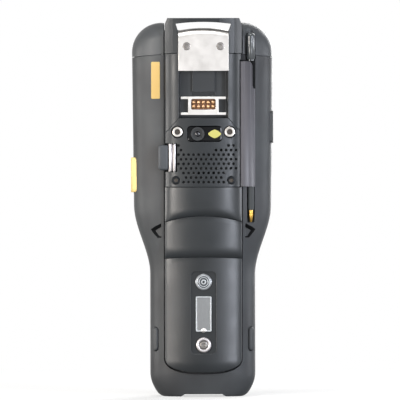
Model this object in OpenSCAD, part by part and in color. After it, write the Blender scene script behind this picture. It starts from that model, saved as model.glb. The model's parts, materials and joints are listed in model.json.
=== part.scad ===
// Portable barcode data terminal, standing upright on its bottom end.
// Millimetres. +Z runs up along the terminal, the display faces +Y and the back faces -Y.
// The origin is at the middle of the footprint, on the surface it stands on.

/* [Overall] */
// Width of the display head
head_w = 86.2; // [80:0.1:110]
// Width of the keypad grip
grip_w = 64.4; // [60:0.1:72]
// Distance from the middle plane to the bezel face and to the crest of the back
half_depth = 21; // [20:0.5:25]
// Depth of the head's side rails behind the middle plane
head_back = 13; // [12:0.5:14]
// Depth of the grip's side rails behind the middle plane
grip_back = 11; // [10:0.5:12]
// Distance from the middle plane to the keypad face
key_face = 16.5; // [16:0.5:18]
// Wall of the moulded housings
wall = 2.5; // [2:0.1:3]

/* [Lengths, from the bottom up] */
// Height of the battery's lower end above the standing surface
chin_l = 14.2; // [13:0.1:20]
// Length of the battery pack
battery_l = 114.2; // [95:0.1:140]
// Length of the camera and speaker cover
cover_l = 42; // [40:0.5:52]
// Length of the raised cover around the accessory well
well_cover_l = 39.4; // [38:0.1:50]
// Height of the corner bumpers above the top seam
bumper_l = 19.1; // [18:0.1:24]
// Rise of the strap bar above the bumpers
bar_rise = 2.8; // [2:0.1:5]

/* [Spine] */
// Width of the raised spine and the battery
spine_w = 47.2; // [46:0.1:49]
// Gap between the spine's pieces and the rails
seam = 0.5; // [0.3:0.05:0.8]
// Gap between pieces of the spine that meet end to end
end_gap = 0.3; // [0.2:0.05:0.5]

/* [Stylus] */
// Radius of the stylus barrel
stylus_r = 2.1; // [1.8:0.1:2.3]
// Gap between the stylus and its silo
silo_gap = 0.3; // [0.2:0.05:0.4]
// Distance of the stylus from the middle plane of the spine
stylus_x = 29.2; // [28.8:0.1:29.6]

/* [Keypad] */
// Width of a digit key
key_w = 12.4; // [10:0.1:13]
// Height of a digit key
key_h = 8.8; // [8:0.1:9.5]
// Distance between key columns
key_pitch_x = 15; // [14.5:0.1:15.5]
// Distance between key rows
key_pitch_z = 12.2; // [11.5:0.1:13]
// Gap around every key and button
key_gap = 0.3; // [0.2:0.05:0.4]

/* [Grille] */
// Distance between grille holes in a row
grille_pitch = 3.06; // [2.6:0.02:3.6]
// Radius of a grille hole
grille_r = 0.78; // [0.5:0.02:0.9]

/* [Hidden] */
$fn = 48;

// Colours
charcoal = "#4a4e50";
graphite = "#3c4042";
grey = "#6f7071";
steel = "#d9d8d5";
gold = "#b5793f";
black = "#17191a";
yellow = "#f2dc9a";

// Heights
battery_z0 = chin_l;
battery_z1 = battery_z0 + battery_l;
cover_z0 = battery_z1 + end_gap;
cover_z1 = cover_z0 + cover_l;
seam_z = cover_z1 + well_cover_l;
shoulder_z = seam_z + bumper_l;
top_z = shoulder_z + bar_rise;
notch_z = shoulder_z - 4.6;
past = 1;

// Housing halves meet on a flat seal
part_y = 6;
seal_t = 0.6;
seal_w = 1.8;
seal_inset = 0.5;

// Outline of the housing
corner_r = 18;
base_taper = 6.2;
base_taper_l = 14.5;
waist_z0 = battery_z1 - 53.4;
waist_l = 42;
shoulder_share = 0.9;
back_power = 2.8;
front_power = 8;
back_round = 10;
front_round = 7;
step_z = battery_z1 - 24;
step_l = 9;
ring_points = 24;

// Spine and trough
spine_half = spine_w / 2;
trough_half = spine_half + seam;
trough_y = -10.9;
cavity_y = -8.6;
flank_x = 19;
flank_y = -half_depth + 2.25;
edge_y = -half_depth + 6;

// Accessory well
well_z0 = cover_z1 + end_gap;
well_z1 = well_z0 + 28.7;
well_floor_y = -13.5;
well_half = 13.9;
well_splay = 1.7;
tongue_half = 6.7;
tongue_y = well_floor_y - 2;
tongue_z0 = well_z1 - 12.8;
cover_cut = [8.5, 9.6];

// Accessory connector
connector_z = well_z0 + 7.3;
connector_half = 9.3;
connector_h = 11.2;
connector_y = -17.5;
connector_flange_t = 1.4;
connector_window = [15.2, 6.6];
connector_window_z = connector_z + 0.9;
pin_pitch = [2.95, 3.1];
pin_r = 0.95;

// Steel bracket at the strap bar
bracket_w = 30.8;
bracket_t = 1.2;
bracket_y = -half_depth + 0.1;
bracket_z0 = seam_z - 10.4;
bracket_bend = 4;
bracket_screw_x = 10.3;
bracket_screw_z = seam_z + 4.6;
bracket_screw_r = 2.3;
bracket_shank_r = 1.25;

// Strap bar
bar_y0 = -half_depth + 0.6;
bar_y1 = -half_depth + 7.6;
gap_half_low = 15.7;
gap_half_high = 17.3;
bar_t = 2.4;
bar_arch = 1.2;

// Scanner at the top end
top_wall = 2.5;
scan_half = 14;
scan_y0 = -7.4;
scan_y1 = 4;
scan_window_t = 1.5;

// Camera cover
cover_wall = 2;
cover_flank = 4.8;
lens_x = -3.6;
lens_z = cover_z1 - 9.6;
lens_r = 4.1;
flash_x = 6.8;
flash_size = [8, 5.2];
flash_power = 1.4;
window_size = [21.5, 9.8];
window_x = 0.65;
window_y = -half_depth + 0.9;
window_t = 1.2;
upper_screw_x = 16;
upper_screw_z = cover_z1 - 8.4;
upper_head_r = 3.1;
upper_head_h = 2.6;
lower_screw_x = 17;
lower_screw_z = cover_z0 + 4;
lower_head_r = 2.5;
cover_shank_r = 1.2;
screw_seat_y = -half_depth + 3.4;
speaker_size = [22, 13];
speaker_x = spine_half - cover_flank - 3.1 - speaker_size.x / 2;
speaker_y = -half_depth + cover_wall + 1.8;
speaker_t = 4;
speaker_z = cover_z0 + 15.4;

// Grille
grille_row = grille_pitch * 0.915;
grille_rows = 9;
grille_z0 = cover_z0 + 2.9;
grille_x0 = -spine_half + 8.3;
grille_x1 = spine_half - 3.6;
// First and last hole that goes through, row by row
grille_open = [[], [], [4, 7], [3, 9], [4, 10], [3, 9], [4, 9], [7, 8], []];

// Side latch
latch_z = cover_z0 + 17.9;
latch_h = 16.8;
pad_h = 15.3;
latch_pin_x = -17.9;
latch_pin_y = -half_depth + 4.2;
latch_pin_r = 0.7;
latch_bore_r = 0.76;
knuckle_r = 1.5;
notch_floor_y = -13.2;
ear_t = 2;
latch_sheet = 1;
latch_reach = 3.7;
pad_w = 6.1;
pad_t = 6.2;
pad_y = latch_pin_y - 0.1;

// Stylus and silo
stylus_y = -9.4;
silo_r = stylus_r + silo_gap;
silo_x0 = spine_half - 0.9;
silo_x1 = stylus_x + 2.7;
silo_gap_z = seam_z - 21.5;
silo_gap_w = 1.7;
silo_corner_r = 4;
silo_z0 = battery_z1 + 0.4;
silo_z1 = seam_z - 4;
silo_crown = [stylus_x - 4.3, -7.4];
silo_crown_r = 8;
tip_l = 7.4;
stylus_z0 = battery_z1 - 21.5;
head_r = 2.8;
stylus_top = shoulder_z - 6;

// Display
glass_half = 30.5;
glass_z0 = battery_z1 - 12.9;
glass_z1 = seam_z - 5.5;
lip = 2.5;
glass_t = 1.5;
module_t = 3.9;
frame_t = 2;
glass_y = half_depth - wall - 0.4;
module_y = glass_y - glass_t - 0.1;
frame_y = module_y - module_t - 0.1;

// Board, mat and keypad
board_y = 8;
board_t = 1.6;
mat_y = board_y + board_t;
mat_t = 1.1;
fascia_half = 22.6;
fascia_z0 = 22.4;
fascia_z1 = battery_z1 - 27.4;
fascia_back = 13.2;
fascia_flange = 1.3;
fascia_flange_t = 0.5;
fascia_proud = 0.2;
key_top = key_face + 1.6;
key_flange_y = 11.9;
key_flange_t = 1;
key_flange_w = 0.9;
key_r = 2.2;
row_z0 = fascia_z0 + 7.2;
nav_z = fascia_z1 - 14;
nav_r = 10.6;
power_x = -17.6;
power_z = fascia_z1 - 5.6;
power_r = 3.2;

// Screws from the battery bay into the front
low_boss = [12.5, battery_z0 + 2.8];
high_boss = [spine_half - 3.6, battery_z1 - 3.2];
boss_places = [for (x = [-1, 1], p = [low_boss, high_boss]) [x * p.x, p.y]];
boss_r = 3;
boss_shank_r = 1;
boss_head_r = 1.6;

// Battery
pack_back = 3.3;
bay_floor_y = -3;
bay_floor_t = 2;
bay_wall = 1.6;
pack_wall = 1.3;
pack_end_l = 10;
pack_end_power = 2.5;
cell_gap = 0.4;
panel_w = 15.4;
panel_z0 = battery_z0 + 12.1;
panel_l = 50.5;
panel_y = -14.9;
ledge_z = [battery_z1 - 17.8, battery_z1 - 43];
ledge_sag = [3.6, 0.8];
ledge_l = [6.5, 7.5];
ledge_crest = [half_depth, 18.5, 16.3];
ledge_valley = 0.35;
ledge_valley_l = 3.2;
pack_flank = 14.6;
stud_z = panel_z0 + panel_l - 6.4;
stud_shank_r = 2;
plate_size = [9.5, 21.5];
plate_z = panel_z0 + 24.5;
eyelet_z = panel_z0 + 5.5;
eyelet_r = 3.65;
eyelet_wire_r = 1.05;
eyelet_shank_r = 1.2;

// Side controls
side_y = 1.2;
side_w = 7;
side_flange = 1.2;
side_proud = 1;
side_crown_r = 7;
side_flange_t = 1;
scan_button_z = cover_z0 + 7.2;
scan_button_l = 21.3;
side_key_z = cover_z0 + 36.6;
side_key_l = 19.7;
tab_z = battery_z0 + 21;
tab_l = 14.7;
tab_w = 4.6;
tab_angle = 50;
tab_x = 29.4;

// Finger pockets
pocket_z = battery_z1 - 27;
pocket_depth = 1.9;

// Dock connector
dock_half = 10.2;
dock_y0 = -3;
dock_y1 = 3;
foot_gap_half = 12.3;
foot_gap_h = 1.7;
base_wall = 4.2;

// Bumpers and the centre of the top end
bumper_wall = 6;
mount_wall = 2.5;
mount_back_y = -9.5;

// ---------------------------------------------------------------- functions

// Eases from 0 to 1 as t goes from 0 to 1
function smooth(t) = let (s = min(max(t, 0), 1)) s * s * (3 - 2 * s);

// Drop of an edge of radius r at distance d from the edge's end
function edge_drop(d, r) = d >= r ? 0 : r - sqrt(max(r * r - (r - d) * (r - d), 0));

// Share of the way from the standing surface up to height l, squared from 1 down to 0
function lift(z, l) = z >= l ? 0 : pow(1 - z / l, 2);

// Half of the housing's width at height z
function half_width(z) =
    grip_w / 2
    + (head_w - grip_w) / 2 * (shoulder_share * smooth((z - waist_z0) / waist_l)
        + (1 - shoulder_share) * smooth((z - waist_z0 - waist_l + 5) / 36))
    - base_taper * lift(z, base_taper_l)
    - edge_drop(shoulder_z - z, corner_r);

// Depth of the rails behind the middle plane at height z
function back_depth(z) =
    grip_back + (head_back - grip_back) * smooth((z - waist_z0) / waist_l)
    - 2.6 * lift(z, 22)
    - edge_drop(shoulder_z - z, back_round);

// Height of the display side's face over the middle plane at height z
function front_depth(z) =
    key_face + (half_depth - key_face) * smooth((z - step_z) / step_l)
    - 1.8 * lift(z, 8)
    - edge_drop(shoulder_z - z, front_round);

// Half ring of the housing at height z, behind (side = -1) or before (side = 1) the plane y = y0
function half_ring(z, side, y0, inset, n) =
    let (
        w = half_width(z) - inset,
        d = (side > 0 ? front_depth(z) : back_depth(z)) - inset - side * y0,
        p = 2 / (side > 0 ? front_power : back_power)
    )
    [for (i = [0:n])
        let (a = 180 * i / n, c = cos(a) * side)
        [w * sign(c) * pow(abs(c), p), y0 + side * d * pow(sin(a), p), z]];

// Full ring of the housing at height z
function full_ring(z, inset, n) =
    let (rear = half_ring(z, -1, part_y, inset, n))
    concat(half_ring(z, 1, part_y, inset, n), [for (i = [1:n - 1]) rear[i]]);

// y of the rail's surface at x and height z
function rail_y(x, z) =
    part_y - (back_depth(z) + part_y) * pow(1 - pow(abs(x) / half_width(z), back_power), 1 / back_power);

// Evenly spaced values from a to b in n steps
function steps(a, b, n) = [for (i = [0:n]) a + (b - a) * i / n];

// The values in rising order, each one once
function sorted(v) =
    len(v) == 0
    ? []
    : concat(sorted([for (x = v) if (x < v[0]) x]), [v[0]], sorted([for (x = v) if (x > v[0]) x]));

// Heights of the rings where the outline bends
bottom_steps = [for (t = steps(0, 1, 5)) base_taper_l * t * t];
waist_steps = steps(waist_z0, waist_z0 + waist_l, 12);
step_steps = steps(step_z + 1, step_z + step_l, 5);
top_steps = [for (a = steps(90, 0, 9)) shoulder_z - corner_r + corner_r * cos(a)];

// y of the circle through the two points (x, y) that is centred on the spine's middle plane
function centre_y(p, q) = (p.x * p.x + p.y * p.y - q.x * q.x - q.y * q.y) / (2 * (p.y - q.y));

// ---------------------------------------------------------------- shape helpers

// Extrudes a sketch of x and z along Y from y0 to y1
module along_y(y0, y1) {
    translate([0, y1, 0])
    rotate([90, 0, 0])
    linear_extrude(y1 - y0)
    children();
}

// Extrudes a sketch of y and z along X from x0 to x1
module along_x(x0, x1) {
    translate([x0, 0, 0])
    rotate([90, 0, 90])
    linear_extrude(x1 - x0)
    children();
}

// Extrudes a sketch of x and y along Z from z0 to z1
module along_z(z0, z1) {
    translate([0, 0, z0])
    linear_extrude(z1 - z0)
    children();
}

// Cylinder along Y, centred on x and z
module peg_y(x, z, y0, y1, r) {
    translate([x, y1, z])
    rotate([90, 0, 0])
    cylinder(h = y1 - y0, r = r);
}

// Block from one corner to the other
module block(x, y, z) {
    translate([x[0], y[0], z[0]])
    cube([x[1] - x[0], y[1] - y[0], z[1] - z[0]]);
}

// Rectangle centred on the origin with round corners
module round_rect(w, h, r) {
    square([w - 2 * r, h], center = true);
    square([w, h - 2 * r], center = true);
    for (x = [-1, 1], y = [-1, 1])
        translate([x * (w / 2 - r), y * (h / 2 - r)])
        circle(r);
}

// Solid skinned over a list of rings with equal numbers of points
module loft(rings) {
    m = len(rings[0]);
    last = len(rings) - 1;
    sides = [for (k = [0:last - 1], i = [0:m - 1])
        let (j = (i + 1) % m, a = k * m, b = a + m)
        each [[a + i, b + i, b + j], [a + i, b + j, a + j]]];
    caps = [[for (i = [0:m - 1]) i], [for (i = [m - 1:-1:0]) last * m + i]];
    polyhedron(points = [for (r = rings) each r], faces = concat(sides, caps));
}

// One half of the housing's outer form between the given heights
module half_form(heights, side, y0, inset = 0, n = ring_points) {
    loft([for (z = heights) half_ring(z, side, y0, inset, n)]);
}

// Everything below the top seam, which rises towards the spine's trough, widened by x_clear
module below_seam(x_clear = 0) {
    along_y(-half_depth - past, half_depth + past)
    polygon([[-head_w, -past], [head_w, -past], [head_w, seam_z - 6.2],
        [trough_half + x_clear, seam_z - 0.4], [trough_half + x_clear, top_z + past],
        [-trough_half - x_clear, top_z + past], [-trough_half - x_clear, seam_z - 0.4],
        [-head_w, seam_z - 6.2]]);
}

// Cross-section of the crowned spine
module spine_section(inset = 0) {
    crest = [0, -half_depth + inset];
    flank = [flank_x, flank_y + inset];
    edge = [spine_half, edge_y + inset];
    crown_r = (flank.x * flank.x + pow(flank.y - crest.y, 2)) / (2 * (flank.y - crest.y));
    flank_c = centre_y(flank, edge);
    intersection() {
        translate([-spine_half + inset, crest.y])
        square([spine_w - 2 * inset, half_depth + trough_y - inset]);
        translate([0, crest.y + crown_r])
        circle(crown_r, $fn = 240);
        translate([0, flank_c])
        circle(norm([flank.x, flank.y - flank_c]), $fn = 240);
    }
}

// ---------------------------------------------------------------- housings

// Inside of the rear housing
module rear_cavity() {
    heights = sorted(concat([base_wall, 12], steps(waist_z0, waist_z0 + waist_l, 6),
        [battery_z1 + 20, seam_z + past]));
    intersection() {
        half_form(heights, -1, part_y, wall, 14);
        block([-head_w, head_w], [cavity_y, half_depth], [0, top_z]);
    }
}

// Solid that the silo's groove is cut into
module silo_block() {
    block([silo_x0 - 1.5, stylus_x + 5.4], [-half_depth, -5], [stylus_z0 - 3, top_z]);
}

// Solid that the battery bay is cut into
module bay_block() {
    half = trough_half + bay_wall;
    block([-half, half], [-half_depth, bay_floor_y + bay_floor_t],
        [battery_z0 - bay_wall - 1, battery_z1 + bay_wall]);
}

// Outline of the battery, grown by g
module pack_outline(g) {
    half = spine_half + g;
    p = 2 / pack_end_power;
    polygon(concat(
        [for (a = steps(180, 360, 32))
            [half * sign(cos(a)) * pow(abs(cos(a)), p),
                battery_z0 + pack_end_l - (pack_end_l + g) * pow(abs(sin(a)), p)]],
        [[half, battery_z1 + g], [-half, battery_z1 + g]]));
}

// Groove that the stylus lies in
module stylus_groove(r, z0, z1) {
    translate([stylus_x, stylus_y, z0])
    cylinder(h = z1 - z0, r = r);
    block([stylus_x - r, stylus_x + r], [-half_depth, stylus_y], [z0, z1]);
}

// Finger pocket beside the battery, deep at its outer walls
module finger_pocket() {
    half = trough_half + 1.6;
    inner = [half - 1, rail_y(half - 1, pocket_z) - 0.2];
    outer = [half + 6.5, rail_y(half + 6.5, pocket_z) + pocket_depth];
    intersection() {
        along_y(-half_depth, half_depth)
        polygon([[half, pocket_z + 4], [half + 5.9, pocket_z + 1], [half + 2.6, pocket_z - 4.2],
            [half + 0.6, pocket_z - 4]]);
        along_z(pocket_z - 6, pocket_z + 6)
        polygon([inner, outer, [outer.x, -half_depth], [inner.x, -half_depth]]);
    }
}

// Slot through a side wall for a button
module side_slot(z, l) {
    block([grip_w / 2, head_w], [side_y - side_w / 2 - key_gap, side_y + side_w / 2 + key_gap],
        [z - l / 2 - key_gap, z + l / 2 + key_gap]);
}

// Slot through the rail for a release tab
module tab_slot() {
    tab_place()
    cube([tab_w + 2 * key_gap, 8, tab_l + 2 * key_gap], center = true);
}

// Puts a release tab's own frame on the rail: -Y points out of the rail
module tab_place() {
    translate([tab_x, rail_y(tab_x, tab_z), tab_z])
    rotate([0, 0, tab_angle])
    children();
}

// Opening for the dock connector, grown by g
module dock_slot(g) {
    block([-dock_half - g, dock_half + g], [dock_y0 - g, dock_y1 + g], [-past, base_wall + past]);
}

// Clear space between the two feet
module foot_gap() {
    block([-foot_gap_half, foot_gap_half], [-half_depth, half_depth], [-past, foot_gap_h]);
}

module rear_housing() {
    heights = sorted(concat(bottom_steps, waist_steps, [battery_z1 + 20, seam_z]));
    color(grey)
    difference() {
        intersection() {
            half_form(heights, -1, part_y - seal_t / 2);
            below_seam();
        }
        difference() {
            rear_cavity();
            silo_block();
            bay_block();
        }
        along_y(-half_depth, bay_floor_y)
        pack_outline(seam);
        block([-trough_half, trough_half], [-half_depth, trough_y], [battery_z1, top_z]);
        block([-trough_half + 4, trough_half - 4], [trough_y - past, 0],
            [cover_z0 + 4, cover_z1 - 4]);
        block([-connector_half, connector_half], [trough_y - past, 0],
            [connector_z - 4, connector_z + 4]);
        block([silo_x0 - 0.2, silo_x1 + 0.2], [-half_depth, stylus_y],
            [silo_z0 - 0.2, top_z]);
        stylus_groove(silo_r, stylus_z0 - 0.3, silo_z1 + 0.4);
        stylus_groove(head_r + silo_gap, silo_z1 + 0.3, top_z);
        finger_pocket();
        mirror([1, 0, 0])
        finger_pocket();
        mirror([1, 0, 0])
        side_slot(scan_button_z, scan_button_l);
        side_slot(side_key_z, side_key_l);
        tab_slot();
        mirror([1, 0, 0])
        tab_slot();
        dock_slot(0.1);
        foot_gap();
        for (p = boss_places)
            peg_y(p.x, p.y, bay_floor_y - past, bay_floor_y + bay_floor_t + past, boss_head_r + 0.1);
        for (i = [0:3])
            terminal(i, 0.1);
    }
}

// Side view of the front housing: flat top with a round edge
module front_profile() {
    r = 5;
    translate([0, -past])
    square([half_depth - r, notch_z + past]);
    translate([0, -past])
    square([half_depth + past, notch_z + past - r]);
    translate([half_depth - r, notch_z - r])
    circle(r);
}

module front_housing() {
    heights = sorted(concat(bottom_steps, waist_steps, step_steps, top_steps));
    cavity_heights = sorted([base_wall, 12, waist_z0, step_z, step_z + step_l / 2, step_z + step_l,
        waist_z0 + waist_l, seam_z - 3, notch_z - top_wall]);
    face = half_depth + past;
    color(charcoal)
    union() {
        difference() {
            intersection() {
                half_form(heights, 1, part_y + seal_t / 2);
                below_seam(-seam);
                along_x(-head_w, head_w)
                front_profile();
            }
            half_form(cavity_heights, 1, part_y, wall, 16);
            along_y(glass_y - past, face)
            translate([0, (glass_z0 + glass_z1) / 2])
            round_rect(2 * (glass_half - lip), glass_z1 - glass_z0 - 2 * lip, 4);
            along_y(key_face - wall - past, face)
            fascia_outline(0.2);
            foot_gap();
        }
        for (x = [-1, 1])
            difference() {
                peg_y(x * low_boss.x, low_boss.y, bay_floor_y + bay_floor_t + 0.1,
                    key_face - wall + 0.3, boss_r);
                peg_y(x * low_boss.x, low_boss.y, bay_floor_y, key_face - wall - 2,
                    boss_shank_r + 0.05);
            }
    }
}

// Flat ring that seals the two housings
module housing_seal() {
    heights = sorted(concat([1], bottom_steps, waist_steps, [seam_z - 7.5]));
    low = [for (z = heights) if (z >= 1) z];
    function outline(g) = concat(
        [for (z = low) [half_width(z) - g, max(z, 1 + g - seal_inset)]],
        [for (i = [len(low) - 1:-1:0]) [-half_width(low[i]) + g, max(low[i], 1 + g - seal_inset)]]);
    color(black)
    along_y(part_y - seal_t / 2, part_y + seal_t / 2)
    difference() {
        polygon(outline(seal_inset));
        intersection() {
            polygon(outline(seal_inset + seal_w));
            translate([-head_w, 0])
            square([2 * head_w, seam_z - 7.5 - seal_w]);
        }
    }
}

// Elastomer corner on the left; the right one is its mirror image with the stylus groove
module bumper_form() {
    heights = sorted(concat([seam_z - 9], [for (z = top_steps) if (z > seam_z - 7) z]));
    difference() {
        intersection() {
            loft([for (z = heights) full_ring(z, 0, ring_points)]);
            block([-head_w, -trough_half], [-half_depth - past, half_depth + past], [0, top_z]);
        }
        translate([0, 0, end_gap])
        below_seam();
        block([-head_w / 2 + bumper_wall, -trough_half - bumper_wall], [-4, 14], [0, notch_z]);
    }
}

module left_bumper() {
    color(graphite)
    bumper_form();
}

module right_bumper() {
    color(graphite)
    difference() {
        mirror([1, 0, 0])
        bumper_form();
        stylus_groove(head_r + silo_gap, 0, top_z);
    }
}

// ---------------------------------------------------------------- top end

// Clear space under the strap bar
module bar_gap() {
    high = top_z - bar_t;
    arch_r = (gap_half_high * gap_half_high + bar_arch * bar_arch) / (2 * bar_arch);
    along_y(bar_y0 - past, bar_y1 + past)
    intersection() {
        polygon([[-gap_half_low, notch_z], [gap_half_low, notch_z], [gap_half_high, high],
            [-gap_half_high, high]]);
        translate([0, high - arch_r])
        circle(arch_r, $fn = 240);
    }
}

module strap_mount() {
    post = 1.6;
    color(charcoal)
    difference() {
        union() {
            block([-spine_half, spine_half], [trough_y, part_y - seal_t / 2], [seam_z, notch_z]);
            along_z(seam_z + end_gap, notch_z)
            spine_section();
            intersection() {
                along_z(notch_z, top_z)
                spine_section();
                along_y(bar_y0, bar_y1)
                polygon([[-spine_half, notch_z], [spine_half, notch_z],
                    [spine_half, shoulder_z - 1], [spine_half - post, top_z],
                    [-spine_half + post, top_z], [-spine_half, shoulder_z - 1]]);
            }
        }
        bar_gap();
        block([-spine_half + mount_wall, spine_half - mount_wall], [mount_back_y, part_y],
            [seam_z - 3, notch_z - top_wall]);
        block([-scan_half - 0.2, scan_half + 0.2], [scan_y0 - 0.2, scan_y1 + 0.2],
            [notch_z - top_wall - past, notch_z + past]);
        bracket_seat(0.1);
        for (x = [-1, 1])
            peg_y(x * bracket_screw_x, bracket_screw_z, bracket_y, trough_y, bracket_shank_r + 0.05);
    }
}

// Space that the steel bracket takes, grown by g
module bracket_seat(g) {
    y = bracket_y + bracket_t;
    r = bracket_bend;
    along_x(-bracket_w / 2 - g, bracket_w / 2 + g)
    difference() {
        translate([-half_depth - past, bracket_z0 - g])
        square([bar_y1 + half_depth + past + g, notch_z + past - bracket_z0 + g]);
        translate([y + g, bracket_z0 - 3 * g - past])
        square([half_depth, notch_z - bracket_t - bracket_z0 - r + 3 * g + past]);
        translate([y + r + g, bracket_z0 - past])
        square([half_depth, notch_z - bracket_t - bracket_z0 + past - g]);
        translate([y + r + g, notch_z - bracket_t - r - g])
        circle(r);
    }
}

// Stainless plate on the back that bends over the top edge
module strap_bracket() {
    y = bracket_y;
    r = bracket_bend;
    bend_z = notch_z - bracket_t - r;
    bend_y = y + bracket_t + r;
    color(steel)
    difference() {
        along_x(-bracket_w / 2, bracket_w / 2)
        union() {
            translate([y, bracket_z0])
            square([bracket_t, bend_z - bracket_z0]);
            translate([bend_y, notch_z - bracket_t])
            square([bar_y1 - bend_y, bracket_t]);
            intersection() {
                difference() {
                    translate([bend_y, bend_z])
                    circle(r + bracket_t);
                    translate([bend_y, bend_z])
                    circle(r);
                }
                translate([y, bend_z])
                square([r + bracket_t, r + bracket_t]);
            }
        }
        for (x = [-1, 1])
            peg_y(x * bracket_screw_x, bracket_screw_z, y - past, y + bracket_t + past,
                bracket_screw_r);
    }
}

module bracket_screws() {
    color("#a5a39f")
    for (x = [-1, 1])
        difference() {
            union() {
                peg_y(x * bracket_screw_x, bracket_screw_z, bracket_y, bracket_y + bracket_t,
                    bracket_screw_r - 0.05);
                peg_y(x * bracket_screw_x, bracket_screw_z, bracket_y + bracket_t - 0.1,
                    trough_y - 1, bracket_shank_r);
            }
            translate([x * bracket_screw_x, bracket_y + 0.7, bracket_screw_z])
            rotate([90, 0, 0])
            cylinder(h = past, r = 1.1, $fn = 6);
        }
}

module scan_window() {
    color("#5a1420")
    block([-scan_half, scan_half], [scan_y0, scan_y1], [notch_z - scan_window_t - 0.2, notch_z - 0.2]);
}

module scan_engine() {
    z1 = notch_z - top_wall - 0.1;
    color(graphite)
    difference() {
        block([-12, 12], [-9.4, part_y - 1], [z1 - 11.5, z1]);
        block([-9, 2], [scan_y0 + 1, scan_y1 - 1], [z1 - 5, z1 + past]);
        translate([7, -2, z1 - 5])
        cylinder(h = 5 + past, r = 3);
    }
}

// ---------------------------------------------------------------- spine

// Outline of the camera cover with its two cut corners, its top lowered by g
module cover_outline(g) {
    c = cover_cut;
    polygon([[-spine_half, cover_z0], [spine_half, cover_z0],
        [spine_half, cover_z1 - c.y - g], [spine_half - c.x, cover_z1 - g],
        [-spine_half + c.x, cover_z1 - g], [-spine_half, cover_z1 - c.y - g]]);
}

// Strip that the silo cover takes from the flank of the spine
module silo_lap() {
    block([silo_x0 - seam, spine_half + past], [-half_depth, trough_y + past],
        [battery_z1, silo_z1 + seam]);
}

// Open space of the accessory well
module well_space() {
    top_half = well_half + well_splay;
    y1 = -half_depth - past;
    along_z(cover_z1 - past, well_z1)
    polygon([[-well_half, well_floor_y], [well_half, well_floor_y], [top_half, y1],
        [-top_half, y1]]);
}

module spine_cover() {
    color(charcoal)
    difference() {
        union() {
            difference() {
                along_z(cover_z1 - cover_cut.y, seam_z)
                spine_section();
                well_space();
            }
            intersection() {
                block([-tongue_half, tongue_half], [tongue_y, well_floor_y + 0.5],
                    [tongue_z0, well_z1 + 0.5]);
                well_space();
            }
        }
        along_y(-half_depth - past, trough_y + past)
        union() {
            translate([0, end_gap])
            cover_outline(0);
            translate([-spine_w, 0])
            square([2 * spine_w, cover_z1 - cover_cut.y]);
            translate([-spine_half + cover_cut.x, 0])
            square([spine_w - 2 * cover_cut.x, well_z0]);
        }
        silo_lap();
        block([-tongue_half - 0.5, tongue_half + 0.5], [well_floor_y - past, well_floor_y + 1.2],
            [tongue_z0 - 2, tongue_z0 - 0.5]);
        bracket_seat(0.1);
    }
}

module connector_frame() {
    z0 = connector_z - connector_h / 2;
    z1 = connector_z + connector_h / 2;
    color(steel)
    difference() {
        union() {
            block([-connector_half, connector_half], [connector_y, well_floor_y], [z0, z1]);
            for (z = [z0, z1 - connector_flange_t])
                block([-well_half, well_half], [connector_y + 1, well_floor_y],
                    [z, z + connector_flange_t]);
        }
        along_y(connector_y - past, well_floor_y + past)
        translate([0, connector_window_z])
        round_rect(connector_window.x, connector_window.y, 1);
    }
}

// Grid of the accessory contacts
module contact_grid() {
    for (i = [-2:2], j = [-1, 1])
        translate([i * pin_pitch.x, 0, connector_window_z + j * pin_pitch.y / 2])
        children();
}

module connector_insulator() {
    color("#3a2a1c")
    difference() {
        along_y(connector_y + 2.2, well_floor_y)
        translate([0, connector_window_z])
        round_rect(connector_window.x - 0.1, connector_window.y - 0.1, 0.95);
        contact_grid()
        peg_y(0, 0, connector_y, well_floor_y + past, pin_r + 0.05);
    }
}

module connector_pins() {
    color(gold)
    contact_grid()
    union() {
        peg_y(0, 0, connector_y + 1.4, well_floor_y, pin_r);
        intersection() {
            translate([0, connector_y + 1.4, 0])
            sphere(pin_r);
            peg_y(0, 0, connector_y, connector_y + 1.4, pin_r);
        }
    }
}

// ---------------------------------------------------------------- camera cover

// Places of the grille's holes: [x, z, true where the hole goes through]
grille_holes = [for (row = [0:grille_rows - 1], i = [0:12])
    let (
        x = grille_x0 + (i + (row % 2) / 2) * grille_pitch,
        z = grille_z0 + row * grille_row,
        beside_screw = abs(abs(x) - lower_screw_x) < 4 && row < 3,
        under_window = row > 6 && abs(x - window_x) < 13
    )
    if (x < grille_x1 && !beside_screw && !under_window)
        [x, z, len(grille_open[row]) > 0 && i >= grille_open[row][0] && i <= grille_open[row][1]]];

// Outline of the flash lens, a rounded diamond
module flash_outline(g) {
    n = 40;
    p = 2 / flash_power;
    polygon([for (i = [0:n - 1])
        let (c = cos(360 * i / n), s = sin(360 * i / n))
        [(flash_size.x / 2 + g) * sign(c) * pow(abs(c), p),
            (flash_size.y / 2 + g) * sign(s) * pow(abs(s), p)]]);
}

// Notch in the cover's flank that the latch lies in
module latch_notch() {
    block([-spine_half - past, latch_pin_x + knuckle_r + 0.3], [-half_depth - past, notch_floor_y],
        [latch_z - latch_h / 2 - 0.3, latch_z + latch_h / 2 + 0.3]);
}

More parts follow.
